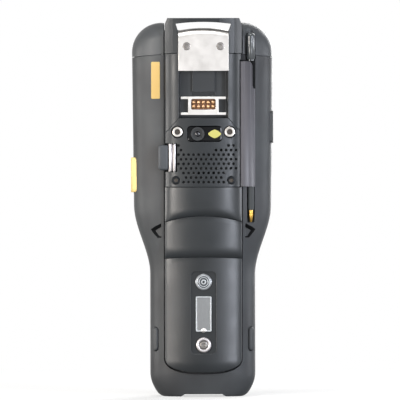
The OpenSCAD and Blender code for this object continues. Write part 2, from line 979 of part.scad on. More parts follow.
module camera_cover() {
    color(charcoal)
    difference() {
        intersection() {
            along_z(cover_z0, cover_z1)
            spine_section();
            along_y(-half_depth - past, trough_y + past)
            cover_outline(0);
        }
        difference() {
            intersection() {
                along_z(cover_z0 + cover_wall, cover_z1)
                intersection() {
                    spine_section(cover_wall);
                    square([2 * (spine_half - cover_flank), 2 * half_depth], center = true);
                }
                along_y(-half_depth, trough_y + past)
                cover_outline(1.5 * cover_wall);
            }
            block([-spine_half, latch_pin_x + knuckle_r + 2.5], [-half_depth, trough_y],
                [latch_z - latch_h / 2 - ear_t - 0.5, latch_z + latch_h / 2 + ear_t + 0.5]);
            for (x = [-1, 1])
                peg_y(x * upper_screw_x, upper_screw_z, -half_depth, trough_y, 4.6);
            for (x = [-1, 1])
                peg_y(x * lower_screw_x, lower_screw_z, -half_depth, trough_y, 3.6);
        }
        silo_lap();
        latch_notch();
        translate([latch_pin_x, latch_pin_y, latch_z - latch_h / 2 - ear_t])
        cylinder(h = latch_h + 2 * ear_t, r = latch_bore_r);
        along_y(-half_depth - past, window_y + window_t)
        translate([window_x, lens_z])
        round_rect(window_size.x + 0.1, window_size.y + 0.1, 2.55);
        peg_y(lens_x, lens_z, -half_depth, trough_y + past, lens_r + 0.1);
        along_y(-half_depth, window_y + window_t + past)
        translate([flash_x, lens_z])
        flash_outline(-0.5);
        for (x = [-1, 1]) {
            peg_y(x * upper_screw_x, upper_screw_z, -half_depth - past, screw_seat_y,
                upper_head_r + 0.7);
            peg_y(x * upper_screw_x, upper_screw_z, -half_depth, trough_y + past,
                cover_shank_r + 0.05);
            peg_y(x * lower_screw_x, lower_screw_z, -half_depth - past, screw_seat_y,
                lower_head_r + 0.1);
            peg_y(x * lower_screw_x, lower_screw_z, -half_depth, trough_y + past,
                cover_shank_r + 0.05);
        }
        for (h = grille_holes)
            grille_hole(h[0], h[1], h[2]);
    }
}

// A through hole, or a dimple that follows the crown
module grille_hole(x, z, through) {
    crown = -half_depth + 2.25 * pow(x / flank_x, 2);
    depth = through ? cover_wall + past : 0.7;
    peg_y(x, z, -half_depth - past, crown + depth, grille_r, $fn = 24);
}

module camera_window() {
    color(black)
    difference() {
        along_y(window_y, window_y + window_t)
        translate([window_x, lens_z])
        round_rect(window_size.x, window_size.y, 2.5);
        peg_y(lens_x, lens_z, -half_depth, 0, lens_r + 0.1);
        along_y(-half_depth, 0)
        translate([flash_x, lens_z])
        flash_outline(0.05);
    }
}

module camera_module() {
    color(graphite)
    difference() {
        union() {
            block([lens_x - 5, lens_x + 5], [trough_y - 4.6, trough_y], [lens_z - 5, lens_z + 5]);
            peg_y(lens_x, lens_z, window_y - 0.3, trough_y - 4.6, lens_r);
        }
        peg_y(lens_x, lens_z, -half_depth, window_y + 0.9, 3.2);
        peg_y(lens_x, lens_z, -half_depth, window_y + 2.4, 1.8);
    }
}

module flash_lens() {
    color("#e6e39a")
    along_y(window_y - 0.2, window_y + window_t)
    translate([flash_x, lens_z])
    flash_outline(0);
}

module speaker() {
    color(black)
    along_y(speaker_y, speaker_y + speaker_t)
    translate([speaker_x, speaker_z])
    round_rect(speaker_size.x, speaker_size.y, 5);
}

// Cap screw with a hexagon socket, standing in a counterbore
module upper_cover_screws() {
    color(steel)
    for (x = [-1, 1])
        difference() {
            union() {
                peg_y(x * upper_screw_x, upper_screw_z, screw_seat_y - upper_head_h, screw_seat_y,
                    upper_head_r);
                peg_y(x * upper_screw_x, upper_screw_z, screw_seat_y, trough_y, cover_shank_r);
            }
            translate([x * upper_screw_x, screw_seat_y - upper_head_h + 1.6, upper_screw_z])
            rotate([90, 0, 0])
            cylinder(h = 3, r = 1.7, $fn = 6);
        }
}

module lower_cover_screws() {
    color(graphite)
    for (x = [-1, 1])
        difference() {
            union() {
                peg_y(x * lower_screw_x, lower_screw_z, screw_seat_y - 1.3, screw_seat_y,
                    lower_head_r);
                peg_y(x * lower_screw_x, lower_screw_z, screw_seat_y, trough_y, cover_shank_r);
            }
            translate([x * lower_screw_x, screw_seat_y - 0.3, lower_screw_z])
            rotate([90, 0, 0])
            cylinder(h = 3, r = 1.2, $fn = 6);
        }
}

// ---------------------------------------------------------------- side latch

// Bent steel lever with a rolled knuckle at its pin
module latch_plate() {
    y = latch_pin_y - knuckle_r;
    z0 = latch_z - latch_h / 2;
    tip_x = latch_pin_x - latch_reach;
    color(steel)
    difference() {
        along_z(z0, z0 + latch_h)
        union() {
            translate([latch_pin_x, latch_pin_y])
            circle(knuckle_r);
            translate([tip_x, y])
            square([latch_reach, latch_sheet]);
            translate([tip_x, y - 1.6])
            square([latch_sheet, 2.4]);
        }
        translate([latch_pin_x, latch_pin_y, z0 - past])
        cylinder(h = latch_h + 2 * past, r = latch_bore_r);
    }
}

// Finger pad that overhangs the rail
module latch_pad() {
    color(graphite)
    along_z(latch_z - pad_h / 2, latch_z + pad_h / 2)
    translate([latch_pin_x - latch_reach - pad_w / 2, pad_y])
    round_rect(pad_w, pad_t, 1.4);
}

module latch_pin() {
    color(steel)
    translate([latch_pin_x, latch_pin_y, latch_z - latch_h / 2 - ear_t])
    cylinder(h = latch_h + 2 * ear_t, r = latch_pin_r);
}

// ---------------------------------------------------------------- stylus

// Outline of the silo cover: set back beside the upper part of the groove, with a round corner
module silo_outline() {
    x = silo_x1 - silo_gap_w;
    r = silo_corner_r;
    polygon(concat([[silo_x0, silo_z0], [silo_x1, silo_z0], [silo_x1, silo_gap_z],
        [x, silo_gap_z + silo_gap_w]],
        [for (a = steps(0, 90, 8)) [x - r + r * cos(a), silo_z1 - r + r * sin(a)]],
        [[silo_x0, silo_z1]]));
}

// Slim cover with a round outer edge over the stylus silo
module silo_cover() {
    color(grey)
    difference() {
        intersection() {
            along_z(silo_z0, silo_z1)
            intersection() {
                translate([silo_x0, -half_depth])
                square([silo_x1 - silo_x0, half_depth + stylus_y]);
                translate(silo_crown)
                circle(silo_crown_r, $fn = 96);
            }
            along_y(-half_depth, stylus_y)
            silo_outline();
        }
        translate([stylus_x, stylus_y, silo_z0 - past])
        cylinder(h = silo_z1 - silo_z0 + 2 * past, r = silo_r);
    }
}

module stylus_barrel() {
    color(black)
    union() {
        translate([stylus_x, stylus_y, stylus_z0 + tip_l])
        cylinder(h = silo_z1 + 0.6 - stylus_z0 - tip_l, r = stylus_r);
        translate([stylus_x, stylus_y, silo_z1 + 0.6])
        cylinder(h = stylus_top - silo_z1 - 0.6 - head_r, r = head_r);
        translate([stylus_x, stylus_y, stylus_top - head_r])
        sphere(head_r);
    }
}

module stylus_tip() {
    color(gold)
    translate([stylus_x, stylus_y, stylus_z0])
    union() {
        cylinder(h = tip_l - 3, r1 = 0.6, r2 = 1.4);
        translate([0, 0, tip_l - 3])
        cylinder(h = 3, r = 1.4);
    }
}

// ---------------------------------------------------------------- display side

module display_glass() {
    color(black)
    along_y(glass_y - glass_t, glass_y)
    translate([0, (glass_z0 + glass_z1) / 2])
    round_rect(2 * glass_half, glass_z1 - glass_z0, 3);
}

module display_module() {
    color("#9aa0a5")
    block([-glass_half + 1, glass_half - 1], [module_y - module_t, module_y],
        [glass_z0 + 1, glass_z1 - 1]);
}

// Cast frame that carries the display and the board
module display_frame() {
    color("#8d9093")
    difference() {
        union() {
            along_y(frame_y - frame_t, frame_y)
            translate([0, (glass_z0 + glass_z1) / 2])
            round_rect(2 * glass_half + 8, glass_z1 - glass_z0 + 4, 4);
            for (x = [-1, 1])
                peg_y(x * high_boss.x, high_boss.y, bay_floor_y + bay_floor_t + 0.1, frame_y - 1,
                    boss_r);
        }
        for (x = [-1, 1])
            peg_y(x * high_boss.x, high_boss.y, bay_floor_y, frame_y - 0.8, boss_shank_r + 0.05);
    }
}

// Circuit board with a wide head and a narrow stem
module main_board() {
    color("#1f5a3a")
    along_y(board_y, board_y + board_t)
    difference() {
        union() {
            translate([0, (glass_z0 + glass_z1) / 2])
            round_rect(72, glass_z1 - glass_z0 - 4, 3);
            translate([-25, fascia_z0 + 1])
            square([50, glass_z0 - fascia_z0 + 6]);
        }
        for (x = [-1, 1])
            translate([x * high_boss.x, high_boss.y])
            circle(boss_r + 0.3);
    }
}

// Outline of the keypad fascia, grown by g
module fascia_outline(g) {
    translate([0, (fascia_z0 + fascia_z1) / 2])
    round_rect(2 * fascia_half + 2 * g, fascia_z1 - fascia_z0 + 2 * g, 4 + g);
}

// Centre of digit key d, as [x, z]: 1 2 3 in the top row, 0 at the lower left
function key_place(d) =
    d == 0
    ? [-key_pitch_x, row_z0]
    : [((d - 1) % 3 - 1) * key_pitch_x, row_z0 + (3 - floor((d - 1) / 3)) * key_pitch_z];

// Outline of a digit key, grown by g
module key_outline(g) {
    round_rect(key_w + 2 * g, key_h + 2 * g, key_r + g);
}

// Outline of the enter key, two columns wide, grown by g
module enter_outline(g) {
    translate([key_pitch_x / 2, row_z0])
    round_rect(key_w + key_pitch_x + 2 * g, key_h + 2 * g, key_r + g);
}

module keypad_fascia() {
    color(graphite)
    difference() {
        union() {
            along_y(fascia_back, key_face + fascia_proud)
            fascia_outline(0);
            along_y(fascia_back, fascia_back + fascia_flange_t)
            fascia_outline(fascia_flange);
        }
        along_y(fascia_back - past, key_face + past)
        union() {
            for (d = [0:9])
                translate(key_place(d))
                key_outline(key_gap);
            enter_outline(key_gap);
            translate([0, nav_z])
            circle(nav_r + key_gap);
            translate([power_x, power_z])
            circle(power_r + key_gap);
        }
    }
}

// Rubber sheet with the key domes
module keypad_mat() {
    color("#2b2d2e")
    along_y(mat_y, mat_y + mat_t)
    fascia_outline(-0.6);
}

// A key with its retaining flange: children(0) is the cap's outline, children(1) the flange's
module key_body() {
    along_y(key_flange_y + key_flange_t - 0.01, key_top)
    children(0);
    along_y(key_flange_y, key_flange_y + key_flange_t)
    children(1);
}

module digit_key(d) {
    color("#565a5c")
    translate([key_place(d).x, 0, key_place(d).y])
    intersection() {
        key_body() {
            key_outline(0);
            key_outline(key_flange_w);
        }
        translate([0, key_top - 20, 0])
        rotate([0, 90, 0])
        cylinder(h = 3 * key_w, r = 20, center = true, $fn = 96);
    }
}

module enter_key() {
    color("#6a7073")
    key_body() {
        enter_outline(0);
        enter_outline(key_flange_w);
    }
}

module power_key() {
    color("#9c3b34")
    translate([power_x, 0, power_z])
    key_body() {
        circle(power_r);
        circle(power_r + key_flange_w);
    }
}

// Round direction pad with a dished middle
module navigation_key() {
    color("#565a5c")
    translate([0, 0, nav_z])
    difference() {
        key_body() {
            circle(nav_r);
            circle(nav_r + key_flange_w);
        }
        peg_y(0, 0, key_top - 0.5, key_top + past, 4);
    }
}

// ---------------------------------------------------------------- bottom end and fasteners

// Insulator with a row of charging pads
module dock_connector() {
    pads = 8;
    color(gold)
    union() {
        block([-dock_half, dock_half], [dock_y0, dock_y1], [foot_gap_h + 0.5, base_wall + 4]);
        for (i = [0:pads - 1])
            translate([(i - (pads - 1) / 2) * 2.4, 0, 0])
            block([-0.7, 0.7], [-1.6, 1.6], [foot_gap_h + 0.2, foot_gap_h + 1]);
    }
}

// Four screws from the battery bay into the front
module housing_screws() {
    color("#8a8c8d")
    for (p = boss_places)
        union() {
            peg_y(p.x, p.y, bay_floor_y + 0.2, bay_floor_y + bay_floor_t + 0.05, boss_head_r);
            peg_y(p.x, p.y, bay_floor_y + bay_floor_t, board_y + 1, boss_shank_r);
        }
}

// One contact blade of the battery terminals, grown by g
module terminal(i, g) {
    translate([(i - 1.5) * 5, 0, 0])
    block([-0.9 - g, 0.9 + g], [bay_floor_y - 0.25, bay_floor_y + bay_floor_t + 2],
        [battery_z1 - 22 - g, battery_z1 - 14 + g]);
}

module battery_terminals() {
    color(gold)
    for (i = [0:3])
        terminal(i, 0);
}

// ---------------------------------------------------------------- battery

// Drop of the crown at ledge i: round at its upper end, steep at its lip, a shallow valley below
function ledge_drop(i, z) =
    let (
        t = (z - ledge_z[i]) / ledge_l[i],
        below = (ledge_z[i] - z) / ledge_valley_l,
        drop = ledge_crest[i] - ledge_crest[i + 1]
    )
    t > 0
    ? (drop + ledge_valley) * (t > 1 ? 0 : 1 - sqrt(1 - pow(1 - t, 2)))
    : drop + (below > 1 ? 0 : ledge_valley * pow(1 - below, 2));

// Crown of the pack at height z on the middle plane
function pack_crest(z) =
    ledge_crest[0] - 0.4 - ledge_drop(0, z) - ledge_drop(1, z) - 1.2 * lift(z - battery_z0, 8);

// Heights of the rings around ledge i, close together where it falls steeply
function ledge_rings(i) = concat(
    steps(ledge_z[i] - ledge_valley_l, ledge_z[i] - 0.1, 3),
    [for (a = steps(90, 0, 8)) ledge_z[i] + ledge_l[i] * (1 - sin(a))]);

// Rings of the pack: [height, sag at the edges]
pack_rings = concat(
    [for (z = steps(battery_z0 - past, battery_z0 + 8, 4)) [z, 0]],
    [for (i = [1, 0], z = ledge_rings(i)) [z, ledge_sag[i]]],
    [[battery_z1 - 4, 1], [battery_z1, 0]]);

function pack_ring(z, sag, n) =
    let (
        w = spine_half,
        crest = pack_crest(z),
        edge = min(crest - 2.2, pack_flank)
    )
    concat(
        [for (i = [0:n])
            let (u = -cos(180 * i / n))
            [w * u, -edge - (crest - edge) * pow(max(1 - pow(abs(u), 2.4), 0), 0.75), z - sag * u * u]],
        [[w, -pack_back, z - sag], [-w, -pack_back, z - sag]]);

module battery_case() {
    color(charcoal)
    difference() {
        intersection() {
            loft([for (r = pack_rings) pack_ring(r[0], r[1], 20)]);
            along_y(-half_depth, 0)
            pack_outline(0);
        }
        block([-spine_half + pack_wall, spine_half - pack_wall], [panel_y + pack_wall, 0],
            [battery_z0 + pack_end_l, battery_z1 - 2]);
        along_y(-half_depth, panel_y)
        translate([0, panel_z0 + panel_l / 2])
        round_rect(panel_w, panel_l, 2.5);
        peg_y(0, stud_z, panel_y - past, panel_y + pack_wall + past, stud_shank_r + 0.05);
        peg_y(0, eyelet_z, panel_y - past, panel_y + pack_wall + past, eyelet_shank_r + 0.05);
    }
}

// Inner cover of the pack
module battery_base() {
    half = spine_half - pack_wall - 0.1;
    color(black)
    block([-half, half], [-pack_back - 1.2, -pack_back],
        [battery_z0 + pack_end_l + 0.1, battery_z1 - 2.1]);
}

// Two cells side by side
module battery_cells() {
    half = spine_half - pack_wall - cell_gap;
    color("#3f6f9f")
    for (x = [-1, 1])
        translate([x * (half + cell_gap / 2) / 2, 0, 0])
        block([-half / 2 + cell_gap / 2, half / 2 - cell_gap / 2],
            [panel_y + pack_wall + 0.3, -pack_back - 1.4],
            [battery_z0 + pack_end_l + 1, battery_z1 - 4]);
}

// Turned stud with concentric rings
module battery_stud() {
    color("#8e9091")
    translate([0, panel_y, stud_z])
    rotate([90, 0, 0])
    union() {
        rotate_extrude()
        polygon([[0.6, 0.4], [0.6, 1.5], [1.8, 1.5], [2.1, 1.0], [2.9, 1.0], [3.4, 1.3],
            [3.8, 0.8], [4.4, 0.8], [5, 0.4], [5, 0], [0, 0], [0, 0.4]]);
        translate([0, 0, -pack_wall])
        cylinder(h = pack_wall, r = stud_shank_r);
    }
}

module battery_plate() {
    color("#a3a6a7")
    difference() {
        along_y(panel_y - 0.8, panel_y)
        translate([0, plate_z])
        round_rect(plate_size.x, plate_size.y, 0.6);
        along_y(panel_y - past, panel_y - 0.5)
        translate([0, plate_z])
        square([plate_size.x - 1.2, plate_size.y - 1.2], center = true);
    }
}

module battery_eyelet() {
    color(steel)
    translate([0, panel_y, eyelet_z])
    rotate([90, 0, 0])
    rotate_extrude()
    translate([eyelet_r, eyelet_wire_r / 2])
    union() {
        translate([-eyelet_wire_r, -eyelet_wire_r / 2])
        square([2 * eyelet_wire_r, eyelet_wire_r / 2]);
        intersection() {
            circle(eyelet_wire_r);
            translate([-eyelet_wire_r, -0.1])
            square(2 * eyelet_wire_r);
        }
    }
}

module eyelet_screw() {
    color("#9d9a97")
    difference() {
        union() {
            peg_y(0, eyelet_z, panel_y - 0.7, panel_y, 2.5);
            peg_y(0, eyelet_z, panel_y, panel_y + pack_wall, eyelet_shank_r);
        }
        translate([0, panel_y - 0.2, eyelet_z])
        rotate([90, 0, 0])
        cylinder(h = past, r = 1, $fn = 6);
    }
}

// ---------------------------------------------------------------- side controls

// x of the rear housing's inner wall at the given y and height
function inner_wall_x(y, z) =
    (half_width(z) - wall)
    * pow(1 - pow((part_y - y) / (back_depth(z) - wall + part_y), back_power), 1 / back_power);

// A side button with its flange behind the wall, on the +X side
module side_button(z, l) {
    flange_w = side_w + 2 * side_flange - 0.8;
    x1 = head_w / 2 + side_proud;
    x_in = inner_wall_x(side_y - flange_w / 2, z - l / 2 - side_flange) - key_gap;
    translate([0, side_y, z])
    union() {
        intersection() {
            translate([x_in - 0.01, 0, 0])
            rotate([90, 0, 90])
            linear_extrude(x1 - x_in + 0.01)
            round_rect(side_w, l, 2);
            translate([x1 - side_crown_r, 0, 0])
            cylinder(h = 2 * l, r = side_crown_r, center = true);
        }
        translate([x_in - side_flange_t, 0, 0])
        rotate([90, 0, 90])
        linear_extrude(side_flange_t)
        round_rect(flange_w, l + 2 * side_flange, 2);
    }
}

module scan_button() {
    color(yellow)
    mirror([1, 0, 0])
    side_button(scan_button_z, scan_button_l);
}

module side_key() {
    color(black)
    side_button(side_key_z, side_key_l);
}

// Release tab, pressed in along its own Y
module tab_form() {
    tab_place()
    difference() {
        translate([0, 0.4, 0])
        rotate([90, 0, 0])
        linear_extrude(3, center = true)
        round_rect(tab_w, tab_l, 1.8);
        translate([tab_w / 2 + 2.2, 0, 0])
        cube([4, 8, tab_l], center = true);
    }
}

module right_tab() {
    color(grey)
    tab_form();
}

module left_tab() {
    color(grey)
    mirror([1, 0, 0])
    tab_form();
}

front_housing();
rear_housing();
housing_seal();
left_bumper();
right_bumper();
strap_mount();
scan_window();
scan_engine();
strap_bracket();
bracket_screws();
spine_cover();
connector_frame();
connector_insulator();
connector_pins();
camera_cover();
camera_window();
camera_module();
flash_lens();
speaker();
upper_cover_screws();
lower_cover_screws();
latch_plate();
latch_pad();
latch_pin();
silo_cover();
stylus_barrel();
stylus_tip();
display_glass();
display_module();
display_frame();
main_board();
keypad_fascia();
keypad_mat();
power_key();
navigation_key();
digit_key(0);  // key_0
digit_key(1);  // key_1
digit_key(2);  // key_2
digit_key(3);  // key_3
digit_key(4);  // key_4
digit_key(5);  // key_5
digit_key(6);  // key_6
digit_key(7);  // key_7
digit_key(8);  // key_8
digit_key(9);  // key_9
enter_key();
dock_connector();
housing_screws();
battery_terminals();
battery_case();
battery_base();
battery_cells();
battery_stud();
battery_plate();
battery_eyelet();
eyelet_screw();
scan_button();
side_key();
left_tab();
right_tab();
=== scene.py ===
import json
import math

import bmesh
import bpy
from bpy.props import FloatProperty, FloatVectorProperty, IntProperty, PointerProperty
from mathutils import Matrix, Vector

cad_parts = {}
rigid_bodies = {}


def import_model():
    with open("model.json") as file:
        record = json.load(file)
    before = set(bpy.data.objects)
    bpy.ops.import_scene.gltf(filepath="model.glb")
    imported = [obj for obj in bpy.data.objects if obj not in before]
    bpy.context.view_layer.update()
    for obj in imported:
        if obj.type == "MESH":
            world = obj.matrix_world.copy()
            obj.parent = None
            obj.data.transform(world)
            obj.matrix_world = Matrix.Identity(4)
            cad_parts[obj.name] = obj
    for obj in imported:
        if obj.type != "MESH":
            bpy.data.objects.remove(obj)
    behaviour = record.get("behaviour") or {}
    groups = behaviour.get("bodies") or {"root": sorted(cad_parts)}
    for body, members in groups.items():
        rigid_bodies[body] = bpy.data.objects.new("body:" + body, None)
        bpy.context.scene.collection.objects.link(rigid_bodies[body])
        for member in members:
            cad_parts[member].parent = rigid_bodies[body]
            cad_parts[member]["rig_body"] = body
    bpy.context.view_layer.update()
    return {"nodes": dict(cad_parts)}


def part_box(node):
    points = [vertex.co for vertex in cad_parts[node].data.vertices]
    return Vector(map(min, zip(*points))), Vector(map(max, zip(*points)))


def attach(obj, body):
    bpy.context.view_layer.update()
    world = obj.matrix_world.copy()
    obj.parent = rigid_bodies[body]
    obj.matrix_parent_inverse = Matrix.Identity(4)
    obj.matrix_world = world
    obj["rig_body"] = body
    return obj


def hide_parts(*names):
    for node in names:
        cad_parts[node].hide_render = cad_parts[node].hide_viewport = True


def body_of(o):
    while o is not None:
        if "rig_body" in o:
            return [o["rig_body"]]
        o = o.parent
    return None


bl_info = {
    "name": "Data Terminal Looks",
    "version": (1, 0, 0),
    "blender": (4, 5, 0),
    "location": "View3D > Sidebar > Terminal",
    "description": "Builds the visual pieces and finishes of a hand-held data terminal around its frame",
    "category": "Object",
}

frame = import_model()
MM = 0.001


# ------------------------------------------------------------------ sizes, in millimetres

def span(node):
    """Lowest and highest corner of a frame node, in millimetres."""
    low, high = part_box(node)
    return Vector(low) / MM, Vector(high) / MM


def middle_of(node):
    """Middle of a frame node, in millimetres, as x, y and z."""
    return [(a + b) / 2 for a, b in zip(*span(node))]


def ends(node):
    """Heights of a frame node's lower and upper end, in millimetres."""
    low, high = span(node)
    return low.z, high.z


FRONT_HIGH = span("front_housing")[1]
SPINE_HIGH = span("spine_cover")[1]
SILO_LOW, SILO_HIGH = span("silo_cover")
STYLUS_Z0, STYLUS_Z1 = ends("stylus_barrel")
TIP_Z0, TIP_Z1 = ends("stylus_tip")
GLASS_LOW, GLASS_HIGH = span("display_glass")
GLASS_Z = middle_of("display_glass")[2]
DOCK_LOW, DOCK_HIGH = span("dock_connector")
BATTERY_Z0, BATTERY_Z1 = ends("battery_case")
COVER_Z0, COVER_Z1 = ends("camera_cover")
LATCH_Z0, LATCH_Z1 = ends("latch_plate")
BRACKET_LOW, BRACKET_HIGH = span("strap_bracket")

# Housings: widths, depths, walls, and the plane in which they part
HEAD_HALF = 43.1
GRIP_HALF = 32.2
HALF_DEPTH = FRONT_HIGH.y
HEAD_BACK = 13.0
GRIP_BACK = 11.0
KEY_FACE = 16.5
WALL = 2.5
PART_Y = 6.0
SEAL_T = 0.6

# Where cutters may start and end: clear of the whole object
BEHIND = -HALF_DEPTH - 1
BEFORE = HALF_DEPTH + 2
FAR = 60

# Heights at which the housings and the bumpers end
SEAM_Z = SPINE_HIGH.z
SEAM_DROP = 0.4
SEAM_SLOPE = 5.8
SHOULDER_Z = span("left_bumper")[1].z
TOP_Z = span("strap_mount")[1].z
NOTCH_Z = FRONT_HIGH.z

# Outline of the housings, from the feet over the waist to the shoulder
BASE_TAPER = 6.2
BASE_TAPER_L = 14.5
FOOT_R = 2.4
FEET_GAP_HALF = (15.5, 11.0)
FEET_GAP_H = 1.7
WAIST_Z0 = BATTERY_Z1 - 53.4
WAIST_L = 42.0
SHOULDER_SHARE = 0.9
SHOULDER_Z0 = WAIST_Z0 + WAIST_L - 5
SHOULDER_L = 36.0
CORNER_R = 18.0

# Sections of the housings: roundness, tapers towards the feet, the step up to the display
BACK_POWER = 2.8
FRONT_POWER = 8.0
BACK_ROUND = 10.0
FRONT_ROUND = 7.0
BACK_TAPER = 2.6
BACK_TAPER_L = 22.0
FACE_TAPER = 1.8
FACE_TAPER_L = 8.0
STEP_Z = BATTERY_Z1 - 24
STEP_L = 9.0
TOP_EDGE_R = 5.0
CAVITY_Z0 = 4.2
CAVITY_Z1 = 12.0
CAVITY_Y = -8.6

# Openings of the display side
GLASS_LIP = 2.5
GLASS_OPENING_R = 4.0
KEYPAD_Z = (22.4, BATTERY_Z1 - 27.4)
KEYPAD_W = 45.6
KEYPAD_FIT = 0.4
KEYPAD_R = 4.2

# Crowned spine, and the trough of the rear housing that it lies in
SPINE_HALF = SPINE_HIGH.x
SEAM = 0.5
END_GAP = 0.3
TROUGH_HALF = SPINE_HALF + SEAM
TROUGH_Y = -10.9
BAY_WALL_HALF = TROUGH_HALF + 1.6
FLANK = Vector((19.0, -HALF_DEPTH + 2.25))
EDGE = Vector((SPINE_HALF, -HALF_DEPTH + 6))
EDGE_R = 0.7
FLANK_SOFT = 1.4

# Battery, its bay and its sunk panel
PACK_BACK = 3.3
PACK_WALL = 1.3
PACK_FLANK = 14.6
PACK_CROWN = 4.2
PACK_END_L = 10.0
PACK_END_POWER = 2.5
PACK_END_RAISED = 0.9
BAY_FLOOR_Y = -3.0
BAY_FLOOR_T = 2.0
PANEL_HALF = 7.7
PANEL_Z = (BATTERY_Z0 + 12.1, BATTERY_Z0 + 62.6)
PANEL_Y = -14.9
PANEL_R = 2.5
STUD_Z = middle_of("battery_stud")[2]
EYELET_Z = middle_of("battery_eyelet")[2]

# The battery's two arched ledges, the upper one first. The crests are the battery's depths above, between
# and below them.
LEDGE_Z = (BATTERY_Z1 - 17.8, BATTERY_Z1 - 43)
LEDGE_SAG = (3.6, 0.8)
LEDGE_L = (6.5, 7.5)
LEDGE_CREST = (HALF_DEPTH, 18.5, 16.3)
LEDGE_VALLEY = 0.35
LEDGE_VALLEY_L = 3.2

# Screw bosses of the battery's bay, as x and z
BOSSES = ((12.5, BATTERY_Z0 + 2.8), (SPINE_HALF - 3.6, BATTERY_Z1 - 3.2))
BOSS_HOLE_R = 1.7

# Stylus, its silo, and the shadow seam along the silo cover's top and outer edge
STYLUS_X = middle_of("stylus_barrel")[0]
STYLUS_Y = -9.4
STYLUS_R = 2.1
STYLUS_HEAD_R = 2.8
SILO_GAP = 0.3
SILO_SEAM = 1.3
SILO_SEAM_L = 17.2
SILO_SEAM_R = 3.4
SILO_SEAM_Y = STYLUS_Y - STYLUS_R - SILO_GAP - 0.35

# Finger pockets: corners of the mouth and of the floor, counted from the inner wall and the middle height
POCKET_Z = BATTERY_Z1 - 27
POCKET_DEPTH = 2.1
POCKET_MOUTH = ((0, 4.2), (6.2, 0.9), (2.9, -4.6), (0, -4.4))
POCKET_FLOOR = ((0, 2.5), (3.6, 0.5), (1.2, -3.0), (0, -3.0))
POCKET_SHALLOW = 0.65

# Buttons in the side walls, and the release tabs, which stand square to the rails
SIDE_SLOT_W = 7.3
SIDE_SLOT_R = 2.1
SIDE_SLOT_SHORTER = 2.1
TAB_X = 29.4
TAB_TURN = 50
TAB_W = 4.6
TAB_R = 2.2

# Camera cover, with its cut corners, window, lens, screws and latch
COVER_CUT = Vector((8.5, 9.6))
COVER_WALL = 2.0
WINDOW_LOW, WINDOW_HIGH = span("camera_window")
WINDOW = Vector(middle_of("camera_window")).xz
WINDOW_R = 2.5
WINDOW_SEAT = (21.6, 9.9)
LENS = Vector((middle_of("camera_module")[0], WINDOW.y))
LENS_FACE_Y = WINDOW_LOW.y + 0.9
LENS_HOLE_R = 4.2
LENS_R = 1.75
UPPER_SCREW = Vector((16.0, COVER_Z1 - 8.4))
LOWER_SCREW = Vector((17.0, COVER_Z0 + 4))
# Place, radius of the counterbore and radius of the boss under it
COVER_SCREWS = ((UPPER_SCREW, 3.8, 4.6), (LOWER_SCREW, 2.6, 3.6))
SCREW_SEAT_Y = -HALF_DEPTH + 3.4
SHANK_HOLE_R = 1.25
LATCH_PIN = Vector(middle_of("latch_pin")).xy
LATCH_PIN_R = 0.7
LATCH_NOTCH_Y = -13.2

# Accessory well and its tongue
WELL_Z0 = COVER_Z1 + END_GAP
WELL_Z1 = WELL_Z0 + 28.7
WELL_HALF = 13.9
WELL_MOUTH_HALF = WELL_HALF + 1.7
WELL_FLOOR_Y = -13.5
TONGUE_HALF = 6.7
TONGUE_L = 12.8

# Strap bracket
BRACKET_T = 1.2
BRACKET_BEND = 4.0
BRACKET_HALF = 15.5
BRACKET_ARCH = 1.7
BRACKET_HOLE_R = 2.45
BRACKET_SCREW_X = span("bracket_screws")[1].x - 2.25
BRACKET_SCREW_Z = middle_of("bracket_screws")[2]

# Speaker grille: staggered rows, and the first and last hole that goes through, by row
GRILLE_ROWS = 9
GRILLE_COLUMNS = 13
GRILLE_Z0 = COVER_Z0 + 2.9
GRILLE_ROW_SHARE = 0.915
GRILLE_X0 = -SPINE_HALF + 8.3
GRILLE_X1 = SPINE_HALF - 3.6
GRILLE_OPEN = {2: (4, 7), 3: (3, 9), 4: (4, 10), 5: (3, 9), 6: (4, 9), 7: (7, 8)}


def smooth(t):
    """Eases from 0 to 1 as t goes from 0 to 1."""
    s = min(max(t, 0.0), 1.0)
    return s * s * (3 - 2 * s)


def edge_drop(d, r):
    """Drop of an edge of radius r at distance d from the edge's end."""
    return 0.0 if d >= r else r - math.sqrt(max(r * r - (r - d) ** 2, 0.0))


def lift(z, length):
    """Share of the way from the standing surface up to a height, squared from 1 down to 0."""
    return 0.0 if z >= length else (1 - z / length) ** 2


def half_width(z):
    """Half of the housing's width at height z."""
    rise = SHOULDER_SHARE * smooth((z - WAIST_Z0) / WAIST_L)
    rise += (1 - SHOULDER_SHARE) * smooth((z - SHOULDER_Z0) / SHOULDER_L)
    width = GRIP_HALF + (HEAD_HALF - GRIP_HALF) * rise
    width -= BASE_TAPER * lift(z, BASE_TAPER_L) + edge_drop(z, FOOT_R)
    return width - edge_drop(SHOULDER_Z - z, CORNER_R)


def back_depth(z):
    """Depth of the rails behind the middle plane at height z."""
    depth = GRIP_BACK + (HEAD_BACK - GRIP_BACK) * smooth((z - WAIST_Z0) / WAIST_L)
    return depth - BACK_TAPER * lift(z, BACK_TAPER_L) - edge_drop(SHOULDER_Z - z, BACK_ROUND)


def front_depth(z):
    """Height of the display side's face over the middle plane at height z."""
    depth = KEY_FACE + (HALF_DEPTH - KEY_FACE) * smooth((z - STEP_Z) / STEP_L)
    return depth - FACE_TAPER * lift(z, FACE_TAPER_L) - edge_drop(SHOULDER_Z - z, FRONT_ROUND)


